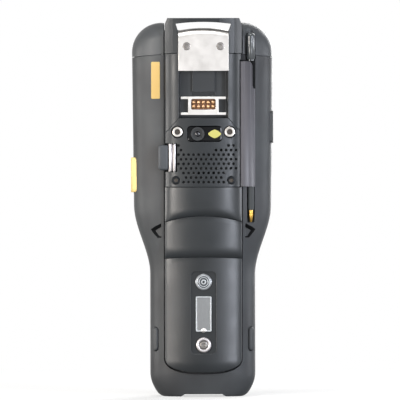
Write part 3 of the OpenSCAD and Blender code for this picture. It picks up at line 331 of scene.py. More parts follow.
def half_ring(z, side, y0, inset, count):
    """Half ring of the housing at height z, behind (side -1) or before (side 1) the plane y = y0."""
    width = half_width(z) - inset
    depth = (front_depth(z) if side > 0 else back_depth(z)) - inset - side * y0
    power = 2 / (FRONT_POWER if side > 0 else BACK_POWER)
    ring = []
    for i in range(count + 1):
        angle = math.pi * i / count
        c = math.cos(angle) * side
        s = math.sin(angle)
        x = math.copysign(width * abs(c) ** power, c)
        ring.append((x, y0 + side * depth * max(s, 0.0) ** power, z))
    return ring


def full_ring(z, inset, count):
    """Full ring of the housing at height z."""
    return half_ring(z, 1, PART_Y, inset, count) + half_ring(z, -1, PART_Y, inset, count)[1:-1]


def rail_y(x, z):
    """y of the rail's surface at x and height z."""
    share = 1 - (abs(x) / half_width(z)) ** BACK_POWER
    return PART_Y - (back_depth(z) + PART_Y) * share ** (1 / BACK_POWER)


def steps(a, b, count):
    """Evenly spaced values from a to b."""
    return [a + (b - a) * i / count for i in range(count + 1)]


def spine_y(x):
    """y of the crowned spine's surface at x; crown and flank run softly into each other."""
    crest = Vector((0, -HALF_DEPTH))
    crown_c = (FLANK.x ** 2 + FLANK.y ** 2 - crest.y ** 2) / (2 * (FLANK.y - crest.y))
    flank_c = (FLANK.dot(FLANK) - EDGE.dot(EDGE)) / (2 * (FLANK.y - EDGE.y))
    crown = crown_c - math.sqrt((crown_c - crest.y) ** 2 - x ** 2)
    flank = flank_c - math.sqrt(FLANK.x ** 2 + (FLANK.y - flank_c) ** 2 - x ** 2)
    soft = max(1 - abs(crown - flank) / FLANK_SOFT, 0)
    return max(crown, flank) + FLANK_SOFT * soft ** 2 / 4 + edge_drop(SPINE_HALF - abs(x), EDGE_R)


def seam_height(x):
    """Height of the top seam, which rises towards the spine."""
    share = (abs(x) - TROUGH_HALF) / (2 * HEAD_HALF - TROUGH_HALF)
    return SEAM_Z - SEAM_DROP - SEAM_SLOPE * share


# ------------------------------------------------------------------ mesh helpers

def placed(name, data):
    """Object at the origin, in the scene."""
    piece = bpy.data.objects.new(name, data)
    bpy.context.scene.collection.objects.link(piece)
    return piece


def mesh_object(name, vertices, faces):
    """Object at the origin with a closed mesh, its faces outwards; the vertices are in millimetres."""
    mesh = bpy.data.meshes.new(name)
    mesh.from_pydata([Vector(v) * MM for v in vertices], [], faces)
    piece = placed(name, mesh)
    shape = bmesh.new()
    shape.from_mesh(mesh)
    bmesh.ops.remove_doubles(shape, verts=shape.verts, dist=1e-7)
    bmesh.ops.recalc_face_normals(shape, faces=shape.faces)
    shape.to_mesh(mesh)
    shape.free()
    return piece


def loft(name, rings):
    """Solid skinned over a list of rings with equal numbers of points."""
    count = len(rings[0])
    faces = []
    for k in range(len(rings) - 1):
        for i in range(count):
            j = (i + 1) % count
            faces.append((k * count + i, k * count + j, (k + 1) * count + j, (k + 1) * count + i))
    faces.append(tuple(range(count)))
    faces.append(tuple(range((len(rings) - 1) * count, len(rings) * count)))
    return mesh_object(name, [p for ring in rings for p in ring], faces)


def prism(name, outline, axis, low, high):
    """Outline of two coordinates drawn along an axis; the outline's pairs keep the order x, y, z."""
    at = "xyz".index(axis)
    return loft(name, [[(*p[:at], along, *p[at:]) for p in outline] for along in (low, high)])


def block(name, low, high):
    """Box from one corner to the other."""
    outline = [(low[0], low[1]), (high[0], low[1]), (high[0], high[1]), (low[0], high[1])]
    return prism(name, outline, "z", low[2], high[2])


def arc(centre, radius, start, end, count):
    """Points on an arc, its angles in degrees."""
    turns = [math.radians(a) for a in steps(start, end, count)]
    return [(centre[0] + radius * math.cos(a), centre[1] + radius * math.sin(a)) for a in turns]


def round_rect(cx, cz, width, height, radius, count=8):
    """Outline of a rectangle with round corners."""
    points = []
    for sx, sz, start in ((1, 1, 0), (-1, 1, 90), (-1, -1, 180), (1, -1, 270)):
        centre = (cx + sx * (width / 2 - radius), cz + sz * (height / 2 - radius))
        points += arc(centre, radius, start, start + 90, count)
    return points


def peg(name, x, z, low, high, radius, count=48, axis="y"):
    """Cylinder along an axis: Y, unless another is given."""
    return prism(name, arc((x, z), radius, 0, 360 * (count - 1) / count, count - 1), axis, low, high)


def rod(name, x, y, low, high, radius, count=48):
    """Cylinder along Z."""
    return peg(name, x, y, low, high, radius, count, "z")


def both_sides(place):
    """A place given as x and z, on the left and on the right."""
    return [(side * place[0], place[1]) for side in (-1, 1)]


def settle(piece):
    """Applies the piece's modifiers to its mesh."""
    bpy.context.view_layer.update()
    graph = bpy.context.evaluated_depsgraph_get()
    mesh = bpy.data.meshes.new_from_object(piece.evaluated_get(graph))
    piece.modifiers.clear()
    old = piece.data
    piece.data = mesh
    bpy.data.meshes.remove(old)
    return piece


def carve(piece, *cutters, operation="DIFFERENCE"):
    """Cuts, joins or intersects the piece with each cutter and removes the cutters."""
    for cutter in cutters:
        modifier = piece.modifiers.new("carve", "BOOLEAN")
        modifier.solver = "MANIFOLD"
        modifier.operation = operation
        modifier.object = cutter
        settle(piece)
        bpy.data.objects.remove(cutter)
        if not piece.data.polygons:
            raise RuntimeError(f"{piece.name} came out empty")
    return piece


def mirrored(piece):
    """Mirrors a piece in the plane x = 0."""
    piece.data.transform(Matrix.Scale(-1, 4, (1, 0, 0)))
    piece.data.flip_normals()
    return piece


def round_edges(piece, width, segments=2, angle=40):
    """Rounds a simple piece's sharp edges."""
    modifier = piece.modifiers.new("edges", "BEVEL")
    modifier.width = width * MM
    modifier.segments = segments
    modifier.limit_method = "ANGLE"
    modifier.angle_limit = math.radians(angle)
    return settle(piece)


# Every material by its short name, filled in by main
FINISHES = {}


def finish_piece(piece, body, key, nodes=(), angle=32):
    """Shades a finished piece, gives it the finish of that key, and ties it to the frame."""
    piece.data.shade_smooth()
    piece.data.set_sharp_from_angle(angle=math.radians(angle))
    piece.data.materials.clear()
    piece.data.materials.append(FINISHES[key])
    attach(piece, body)
    if nodes:
        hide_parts(*nodes)
    return piece


# ------------------------------------------------------------------ material helpers

def linear(hex_colour):
    """Linear RGBA of an sRGB hex colour."""
    channels = [int(hex_colour[i:i + 2], 16) / 255 for i in (1, 3, 5)]
    values = [c / 12.92 if c <= 0.04045 else ((c + 0.055) / 1.055) ** 2.4 for c in channels]
    return (*values, 1.0)


def add(tree, kind, inputs=None, **settings):
    """Adds a node with its settings and fills or links its inputs."""
    node = tree.nodes.new(kind)
    for name, value in settings.items():
        setattr(node, name, value)
    for name, value in (inputs or {}).items():
        if isinstance(value, bpy.types.NodeSocket):
            tree.links.new(value, node.inputs[name])
        else:
            node.inputs[name].default_value = value
    return node


def maths(tree, operation, *values):
    """Result of a calculation with one or two numbers or sockets."""
    return add(tree, "ShaderNodeMath", dict(enumerate(values)), operation=operation).outputs[0]


def link(tree, node, **sockets):
    """Links sockets to a node's inputs, which are named."""
    for name, socket in sockets.items():
        tree.links.new(socket, node.inputs[name.replace("_", " ")])


def finish(name, **shader_values):
    """A material's node tree and its shader."""
    material = bpy.data.materials.new(name)
    material.use_nodes = True
    tree = material.node_tree
    shader = tree.nodes["Principled BSDF"]
    for socket, value in shader_values.items():
        shader.inputs[socket.replace("_", " ")].default_value = value
    return material, tree, shader


def place(tree, scale_mm, stretch=(1, 1, 1)):
    """Object coordinates in which one unit is scale_mm, scaled along the axes."""
    coords = add(tree, "ShaderNodeTexCoord")
    size = [share / (scale_mm * MM) for share in stretch]
    return add(tree, "ShaderNodeMapping", {"Vector": coords.outputs["Object"], "Scale": size}).outputs[0]


def noise(tree, scale_mm, detail, stretch=(1, 1, 1)):
    """Noise whose features are scale_mm wide."""
    node = add(tree, "ShaderNodeTexNoise", {
        "Vector": place(tree, scale_mm, stretch), "Scale": 1.0, "Detail": detail})
    return node.outputs["Fac"]


def remap(tree, value, low, high, start=0.3, end=0.7):
    """Maps a value from start..end to low..high."""
    node = add(tree, "ShaderNodeMapRange", {
        "Value": value, "From Min": start, "From Max": end, "To Min": low, "To Max": high})
    return node.outputs[0]


def blend_colours(tree, factor, first, second):
    """Mixes two colours, each a hex value or a socket."""
    node = add(tree, "ShaderNodeMix", data_type="RGBA")
    tree.links.new(factor, node.inputs["Factor"])
    for socket, colour in ((node.inputs[6], first), (node.inputs[7], second)):
        if isinstance(colour, str):
            socket.default_value = linear(colour)
        else:
            tree.links.new(colour, socket)
    return node.outputs[2]


def soft_edges(tree, radius_mm):
    """Normal with rounded edges, and a mask that is 1 on the edges."""
    bevel = add(tree, "ShaderNodeBevel", {"Radius": radius_mm * MM}, samples=6)
    surface = add(tree, "ShaderNodeNewGeometry")
    both = add(tree, "ShaderNodeVectorMath", operation="DOT_PRODUCT")
    tree.links.new(bevel.outputs[0], both.inputs[0])
    tree.links.new(surface.outputs["Normal"], both.inputs[1])
    mask = remap(tree, both.outputs["Value"], 1.0, 0.0, 0.8, 0.995)
    return bevel.outputs[0], mask


def bump(tree, height, distance_mm, strength, normal):
    """Relief of a height pattern over a normal."""
    node = add(tree, "ShaderNodeBump", {
        "Height": height, "Distance": distance_mm * MM, "Strength": strength, "Normal": normal})
    return node.outputs[0]


def moulded(name, colour, tint, roughness, grain_mm, relief_mm, edge_mm=0.35, edge_wear_and_highlight=None, **values):
    """Injection-moulded surface: eroded grain, faint flow clouds, edges painted paler, partly as rubbing
    wear and partly as painted highlight.
    """
    cloud_mm, rub_and_sheen_mm, touch_mm = 28, 3.5, 16
    material, tree, shader = finish(name, **values)
    normal, edge = soft_edges(tree, edge_mm)
    clouds = noise(tree, cloud_mm, 3)
    body = blend_colours(tree, remap(tree, clouds, 0, 1), colour, tint)
    # Partly wear, partly painted highlight: the edges blend to a paler colour
    rubbed_and_lit_edge = maths(tree, "MULTIPLY", edge, remap(tree, noise(tree, rub_and_sheen_mm, 3), 0.15, 0.75))
    link(tree, shader, Base_Color=blend_colours(tree, rubbed_and_lit_edge, body, edge_wear_and_highlight or tint),
         Roughness=remap(tree, noise(tree, touch_mm, 4), roughness - 0.05, roughness + 0.06),
         Normal=bump(tree, noise(tree, grain_mm, 3), relief_mm, 0.6, normal))
    return material


def brushed(name, colour, tint, roughness, stretch=(1, 1, 1), lines_mm=0.12, relief_mm=0.004):
    """Sheet or turned metal with fine brush lines along one axis, and faint marks of handling."""
    edge_mm, touch_mm = 0.2, 6
    material, tree, shader = finish(name, Metallic=1.0)
    normal, _ = soft_edges(tree, edge_mm)
    lines = noise(tree, lines_mm, 4, stretch)
    link(tree, shader, Base_Color=blend_colours(tree, remap(tree, lines, 0, 1), colour, tint),
         Roughness=remap(tree, noise(tree, touch_mm, 3), roughness - 0.04, roughness + 0.05),
         Normal=bump(tree, lines, relief_mm, 0.5, normal))
    return material


# ------------------------------------------------------------------ finishes

# The numbers of a moulded finish: roughness, width of the grain, depth of its relief, and, where given, the
# width of the rounded edges. Those of a brushed finish: roughness, and, where given, how the pattern is
# scaled along x, y and z.

# The paler edge colour of each moulded finish is partly wear and partly painted highlight
def outer_plastics(made, colours):
    """Moulded plastics and rubbers of the casing, the spine and the battery."""
    housing = as_hex(colours.housing)
    spine = as_hex(colours.spine)
    # Polycarbonate from a spark-eroded mould: a dry satin grey with a fine even grain
    made["rail"] = moulded("spark_textured_polycarbonate", housing, "#36393b", 0.5, 0.55, 0.03,
                           edge_wear_and_highlight="#6f7173", Specular_IOR_Level=0.35)
    # Satin ABS of the spine, where the hand wraps round it: a shade darker and smoother
    made["spine"] = moulded("satin_moulded_abs", spine, "#1e2225", 0.36, 0.5, 0.02,
                            edge_wear_and_highlight="#56595b", Specular_IOR_Level=0.35)
    # Dark satin ABS of the bezel: quiet beside the glass
    made["bezel"] = moulded("charcoal_moulded_abs", "#36393b", "#3c3f41", 0.44, 0.5, 0.022, edge_wear_and_highlight="#5a5d5f")
    # Thermoplastic elastomer over the corners: a softer sheen, wide soft edges
    made["bumper"] = moulded("moulded_elastomer", "#3a3c3e", "#404345", 0.44, 0.7, 0.025, 0.6,
                             edge_wear_and_highlight="#55585a", Specular_IOR_Level=0.35)
    # Smooth ABS of the battery case: a low sheen that runs along its crown
    made["pack"] = moulded("smooth_moulded_abs", spine, "#1e2225", 0.34, 0.45, 0.012,
                           edge_wear_and_highlight="#5a5d5f", Specular_IOR_Level=0.42)
    # The same plastic in the sunk panel, finer and darker: sets off the metal parts in it
    made["panel_floor"] = moulded("fine_textured_abs", "#191c1e", "#1f2224", 0.55, 0.35, 0.012,
                                  edge_wear_and_highlight="#34383a", Specular_IOR_Level=0.3)
    # Painted shade: dull, nearly black plastic painted into holes, pockets and seams where shade falls
    made["hollow"] = moulded("painted_shade_abs", "#0c0d0e", "#101112", 0.7, 0.5, 0.01, Specular_IOR_Level=0.1)
    # Black ABS round the accessory well: clean and plain
    made["black_abs"] = moulded("black_moulded_abs", "#1a1d20", "#1f2326", 0.42, 0.5, 0.02, edge_wear_and_highlight="#3c4043")
    # Slate ABS of the silo cover: a lighter, faintly purple strip beside the spine
    made["silo"] = moulded("slate_moulded_abs", "#454449", "#4b4a4f", 0.44, 0.5, 0.02, edge_wear_and_highlight="#706f73")
    # Silicone of the seal and the key mat: matt black
    made["seal"] = moulded("moulded_silicone", "#121314", "#17181a", 0.6, 0.6, 0.02)
    # Turned acetal of the stylus: smooth, with a soft bright gleam
    made["stylus"] = moulded("turned_acetal", "#34383a", "#3b3f41", 0.16, 0.6, 0.002,
                             edge_wear_and_highlight="#4a4d50", Specular_IOR_Level=0.7)


def control_plastics(made):
    """Moulded plastics and rubbers of the buttons and the keys."""
    # Pad-printed ink: a thin dry white
    made["print"] = moulded("pad_printed_ink", "#e9ebec", "#e2e4e5", 0.5, 0.6, 0.002)
    # Elastomer of the latch's grip: blue-grey, soft edges
    made["pad"] = moulded("moulded_grip_elastomer", "#303438", "#383c40", 0.5, 0.6, 0.03, 0.8)
    # Elastomer of the scan button: a pale warm yellow
    made["yellow"] = moulded("yellow_elastomer", "#d0bb7c", "#c9b06c", 0.5, 0.6, 0.02, 0.6, edge_wear_and_highlight="#eedca0")
    # Elastomer of the side key: black and soft
    made["black_rubber"] = moulded("black_elastomer", "#1b1d1e", "#222425", 0.5, 0.6, 0.02, 0.6)
    # Smooth ABS of the keys: mid grey, its edges painted brighter, partly as finger wear and partly as
    # painted highlight
    made["keycap"] = moulded("keycap_abs", "#4c5052", "#525658", 0.42, 0.4, 0.01, 0.5, edge_wear_and_highlight="#7b7f81")
    # The same for the enter key, a step lighter
    made["enter"] = moulded("enter_keycap_abs", "#5d6467", "#63696c", 0.42, 0.4, 0.01, 0.5, edge_wear_and_highlight="#8a9092")
    # The same for the power key, a brick red
    made["power"] = moulded("red_keycap_abs", "#8e2f28", "#98372f", 0.42, 0.4, 0.01, 0.5, edge_wear_and_highlight="#b8605a")
    # Smooth ABS of the fascia: a dark field between the keys
    made["fascia"] = moulded("fascia_abs", "#26292b", "#2b2e30", 0.36, 0.4, 0.012, edge_wear_and_highlight="#4c4f51")


def metals(made):
    """Sheet, turned, cast and plated metals."""
    # Stainless sheet, brushed across: near white against a bright room
    made["bracket"] = brushed("brushed_stainless_sheet", "#d6d3cf", "#d0cdc9", 0.36, (0.04, 1, 1),
                              relief_mm=0.0005)
    # Stamped stainless of the connector's frame: bright and crisp
    made["frame_metal"] = brushed("stamped_stainless", "#e8e6e2", "#e2dfdb", 0.32, (0.1, 1, 1),
                                  relief_mm=0.0005)
    # Bent stainless of the latch, brushed along the bend: bright bands and grey ones
    made["latch"] = brushed("bent_stainless_sheet", "#bdb9b8", "#aca7a6", 0.34, (1, 1, 0.06),
                            relief_mm=0.001)
    # Turned stainless of the cap screws: a light warm steel
    made["cap_screw"] = brushed("turned_stainless", "#d8d4ce", "#cac5be", 0.3, lines_mm=0.4,
                                relief_mm=0.001)
    # Nickel of the rolled eyelet: a broad soft glow round its ring
    made["eyelet"] = brushed("rolled_nickel", "#bab7b7", "#b0acad", 0.48, lines_mm=0.4, relief_mm=0.001)
    # Turned steel of the flat screws: a darker, duller grey
    made["flat_screw"] = brushed("turned_steel", "#85827f", "#7a7774", 0.42, lines_mm=0.4)
    # Black oxide on the lower screws: barely brighter than the plastic
    made["dark_screw"] = brushed("black_oxide_steel", "#2c2e30", "#242628", 0.45, lines_mm=0.4)
    # Painted shade at the bottom of a screw's socket: a warm, dull brown-grey steel
    made["socket"] = brushed("socket_shade_steel", "#5a5550", "#4a4642", 0.5, lines_mm=0.4)
    # Turned aluminium of the stud and the lens ring: a neutral mid grey
    made["turned"] = brushed("turned_aluminium", "#a5a8ab", "#8d9093", 0.34, lines_mm=0.3)
    # Aluminium of the battery's inlaid plate, brushed upright: flat grey
    made["plate"] = brushed("brushed_aluminium_plate", "#858787", "#7b7d7e", 0.42, (1, 1, 0.05),
                            relief_mm=0.002)
    # Lighter aluminium on the raised rims of the parts in the panel: thin bright lines
    made["rim"] = brushed("light_rim_aluminium", "#c4c8ca", "#b4b8ba", 0.36, lines_mm=0.3, relief_mm=0.001)
    # Darker aluminium in the grooves between those rims: dark rings
    made["groove"] = brushed("dark_groove_aluminium", "#5c6063", "#505457", 0.5, lines_mm=0.3,
                             relief_mm=0.001)
    # Gold plating of the contacts: a pale copper tone
    made["gold"] = brushed("gold_plated_contact", "#c8a684", "#b59068", 0.32, lines_mm=0.5)
    # Turned brass of the stylus tip: a small warm yellow
    made["tip"] = brushed("turned_brass", "#c09a4c", "#a98440", 0.3, lines_mm=0.4, relief_mm=0.001)
    # Die-cast magnesium of the display's frame: coarse and dull
    made["cast"] = brushed("die_cast_magnesium", "#8b8e90", "#7f8284", 0.5, lines_mm=0.8)


def inner_and_clear_parts(made, colours):
    """Parts inside the casing, the printed strip, and what light goes into."""
    # Glass-filled nylon of the contact block: warm brown, dull
    made["insulator"] = moulded("glass_filled_nylon", "#5c3f28", "#6b4a30", 0.55, 0.4, 0.02)
    # Moulding of the camera, the speaker and the scan engine: plain black
    made["module"] = moulded("black_camera_moulding", "#1a1c1e", "#202325", 0.4, 0.4, 0.01)
    # Printed wrap of the cells: a smooth blue
    made["foil"] = moulded("printed_cell_wrap", "#3f6f9f", "#4a7aa8", 0.34, 1.2, 0.01)
    # Solder resist of the circuit board: a deep glossy green
    made["resist"] = moulded("solder_resist", "#1d5a3a", "#22664a", 0.3, 0.8, 0.01)
    # Reflector behind the display: a pale cool grey
    made["panel"] = moulded("display_reflector", "#9aa0a5", "#a4aaaf", 0.35, 0.8, 0.01)
    # Printed foil of the marker strip: an even, dry amber, its edges painted pale yellow as painted
    # highlight
    made["amber"] = moulded("printed_amber_foil", as_hex(colours.marker), "#b89c5e", 0.5, 0.8, 0.004, 0.6,
                            edge_wear_and_highlight="#cfc780", Specular_IOR_Level=0.3)
    # Dyed acrylic before the scan engine: a glossy, nearly black red
    made["scan_filter"] = polished("dyed_acrylic_filter", "#3a0c14", 0.06)
    # Black acrylic round the camera: a dark mirror, kept faint
    made["lens_window"] = polished("black_acrylic_window", "#07080a", 0.05, Specular_IOR_Level=0.25)
    # Coated glass of the camera's lens: black with one sharp gleam
    made["lens"] = polished("coated_lens_glass", "#101118", 0.03, Coat_Weight=0.5)
    # Frosted lens over the flash's phosphor: an even yellow-green
    made["flash"] = polished("frosted_phosphor_lens", "#aeaa5e", 0.3)
    # Cover glass of the display: a clean dark sheet
    made["glass"] = display_glass()


def make_finishes(colours):
    """Every material of the terminal, by a short name."""
    made = {}
    outer_plastics(made, colours)
    control_plastics(made)
    metals(made)
    inner_and_clear_parts(made, colours)
    return made


def polished(name, colour, roughness, **values):
    """Clear-cut polished acrylic: a deep colour under a faint haze of wiping marks."""
    material, tree, shader = finish(name, Base_Color=linear(colour), **values)
    normal, _ = soft_edges(tree, 0.25)
    link(tree, shader, Roughness=remap(tree, noise(tree, 9, 4, (1, 1, 0.4)), roughness, roughness + 0.06),
         Normal=bump(tree, noise(tree, 6, 2), 0.004, 0.4, normal))
    return material


def display_glass():
    """Strengthened cover glass over a dark display: black border, slightly lighter active area."""
    material, tree, shader = finish("strengthened_cover_glass", Coat_Weight=0.8)
    coords = add(tree, "ShaderNodeTexCoord")
    parts = add(tree, "ShaderNodeSeparateXYZ", {"Vector": coords.outputs["Object"]})
    active_half = (25.4 * MM, 33.9 * MM)
    masks = []
    for socket, centre, half in (("X", 0.0, active_half[0]), ("Z", GLASS_Z * MM, active_half[1])):
        offset = maths(tree, "SUBTRACT", parts.outputs[socket], centre)
        masks.append(maths(tree, "LESS_THAN", maths(tree, "ABSOLUTE", offset), half))
    active = maths(tree, "MULTIPLY", *masks)
    normal, _ = soft_edges(tree, 0.2)
    link(tree, shader, Base_Color=blend_colours(tree, active, "#0a0b0c", "#22282d"),
         Roughness=remap(tree, noise(tree, 18, 4, (1, 1, 0.5)), 0.04, 0.12),
         Normal=bump(tree, noise(tree, 30, 1), 0.004, 0.2, normal))
    return material


# ------------------------------------------------------------------ settings shown in the sidebar

class TerminalSizes(bpy.types.PropertyGroup):
    """Sizes that a user would change."""

    grille_pitch: FloatProperty(
        name="Grille pitch", description="Distance between grille holes in a row", default=3.06 * MM,
        min=2.6 * MM, max=3.6 * MM, unit="LENGTH")
    grille_hole: FloatProperty(
        name="Grille hole", description="Radius of a grille hole", default=0.85 * MM,
        min=0.5 * MM, max=0.9 * MM, unit="LENGTH")
    key_figure: FloatProperty(
        name="Key figure", description="Height of the figure printed on a key", default=6.2 * MM,
        min=4 * MM, max=8 * MM, unit="LENGTH")
    contact_pitch: FloatProperty(
        name="Contact pitch", description="Distance between accessory contacts in a row", default=2.95 * MM,
        min=2.2 * MM, max=3.2 * MM, unit="LENGTH")
    charging_pads: IntProperty(
        name="Charging pads", description="Number of pads in the bottom connector", default=8, min=2, max=8)


class TerminalColours(bpy.types.PropertyGroup):
    """Colours that a user would change."""

    housing: FloatVectorProperty(
        name="Housing", description="Colour of the rear housing", subtype="COLOR_GAMMA",
        default=(0.155, 0.162, 0.167), min=0, max=1)
    spine: FloatVectorProperty(
        name="Spine", description="Colour of the spine and the battery", subtype="COLOR_GAMMA",
        default=(0.1, 0.114, 0.122), min=0, max=1)
    marker: FloatVectorProperty(
        name="Marker", description="Colour of the strip on the left rail", subtype="COLOR_GAMMA",
        default=(0.68, 0.56, 0.32), min=0, max=1)


def as_hex(colour):
    """An sRGB colour as a hex value."""
    return "#" + "".join(f"{round(c * 255):02x}" for c in colour)


def sizes():
    """The sidebar's sizes."""
    return bpy.context.scene.terminal_sizes


# ------------------------------------------------------------------ repeated shapes

def group_tree(name, inputs):
    """Empty geometry tree with named inputs and one geometry output."""
    tree = bpy.data.node_groups.new(name, "GeometryNodeTree")
    for label, kind in inputs:
        tree.interface.new_socket(label, in_out="INPUT", socket_type=f"NodeSocket{kind}")
    tree.interface.new_socket("Geometry", in_out="OUTPUT", socket_type="NodeSocketGeometry")
    return tree, add(tree, "NodeGroupInput").outputs


def melt(tree, copies, material):
    """Ends a tree: the copies become one mesh of one material."""
    solid = add(tree, "GeometryNodeRealizeInstances", {"Geometry": copies})
    done = add(tree, "GeometryNodeSetMaterial", {"Geometry": solid.outputs[0], "Material": material})
    add(tree, "NodeGroupOutput", {"Geometry": done.outputs[0]})


def copies_tree():
    """Sets a copy of a template on every place."""
    tree, start = group_tree("copies", (
        ("Places", "Geometry"), ("Template", "Object"), ("Scale", "Float"), ("Finish", "Material")))
    shape = add(tree, "GeometryNodeObjectInfo", {"Object": start["Template"]})
    copies = add(tree, "GeometryNodeInstanceOnPoints", {
        "Points": start["Places"], "Instance": shape.outputs["Geometry"], "Scale": start["Scale"]})
    melt(tree, copies.outputs[0], start["Finish"])
    return tree


def perforation_tree():
    """Sets a round cutter, lying along Y, on every place."""
    tree, start = group_tree("perforations", (
        ("Places", "Geometry"), ("Radius", "Float"), ("Depth", "Float"), ("Sides", "Int"),
        ("Finish", "Material")))
    cutter = add(tree, "GeometryNodeMeshCylinder", {
        "Vertices": start["Sides"], "Radius": start["Radius"], "Depth": start["Depth"]})
    lying = add(tree, "GeometryNodeTransform", {
        "Geometry": cutter.outputs["Mesh"], "Rotation": (math.pi / 2, 0, 0)})
    copies = add(tree, "GeometryNodeInstanceOnPoints", {
        "Points": start["Places"], "Instance": lying.outputs[0]})
    melt(tree, copies.outputs[0], start["Finish"])
    return tree


def row_tree():
    """Sets copies of a template in a row along X, centred on the origin of the places."""
    tree, start = group_tree("row", (
        ("Places", "Geometry"), ("Template", "Object"), ("Count", "Int"), ("Pitch", "Float"),
        ("Finish", "Material")))
    step = add(tree, "ShaderNodeCombineXYZ", {"X": start["Pitch"]})
    width = maths(tree, "MULTIPLY", maths(tree, "SUBTRACT", start["Count"], 1.0), start["Pitch"])
    first = add(tree, "ShaderNodeCombineXYZ", {"X": maths(tree, "MULTIPLY", width, -0.5)})
    line = add(tree, "GeometryNodeMeshLine", {
        "Count": start["Count"], "Start Location": first.outputs[0], "Offset": step.outputs[0]})
    rows = add(tree, "GeometryNodeInstanceOnPoints", {
        "Points": start["Places"], "Instance": line.outputs[0]})
    points = add(tree, "GeometryNodeRealizeInstances", {"Geometry": rows.outputs[0]})
    shape = add(tree, "GeometryNodeObjectInfo", {"Object": start["Template"]})
    copies = add(tree, "GeometryNodeInstanceOnPoints", {
        "Points": points.outputs[0], "Instance": shape.outputs["Geometry"]})
    melt(tree, copies.outputs[0], start["Finish"])
    return tree


def repeated(name, tree, points, **values):
    """Runs a repeating tree on the points and keeps its result as a plain mesh."""
    piece = mesh_object(name, points, [])
    modifier = piece.modifiers.new("repeat", "NODES")
    modifier.node_group = tree
    for socket in tree.interface.items_tree:
        if socket.in_out == "INPUT" and socket.name in values:
            modifier[socket.identifier] = values[socket.name]
    settle(piece)
    template = values.get("Template")
    if template:
        bpy.data.objects.remove(template)
    return piece


def turned(name, profile, axis="y", centre=(0, 0), count=48):
    """Solid of revolution; the profile is a list of (radius, place along the axis)."""
    rings = []
    for radius, along in profile:
        ring = []
        for i in range(count):
            angle = 2 * math.pi * i / count
            u = centre[0] + radius * math.cos(angle)
            v = centre[1] + radius * math.sin(angle)
            ring.append((u, along, v) if axis == "y" else (u, v, along))
        rings.append(ring)
    return loft(name, rings)


def welded(node):
    """Welded copy of a frame node."""
    piece = placed(f"{node}_finished", frame["nodes"][node].data.copy())
    shape = bmesh.new()
    shape.from_mesh(piece.data)
    bmesh.ops.remove_doubles(shape, verts=shape.verts, dist=2e-6)
    bmesh.ops.dissolve_limit(shape, angle_limit=math.radians(1), verts=shape.verts, edges=shape.edges)
    shape.to_mesh(piece.data)
    shape.free()
    return piece


def eased(node, key, angle=35, piece=None):
    """Smoothly shaded copy of a frame node, which it stands for."""
    source = frame["nodes"][node]
    return finish_piece(piece or welded(node), body_of(source)[0], key, [node], angle)


def repaint(piece, key, inside):
    """Gives another finish to the faces whose centre, in millimetres, and normal pass the test."""
    piece.data.materials.append(FINISHES[key])
    last = len(piece.data.materials) - 1
    for face in piece.data.polygons:
        if inside(face.center / MM, face.normal):
            face.material_index = last


# ------------------------------------------------------------------ stage

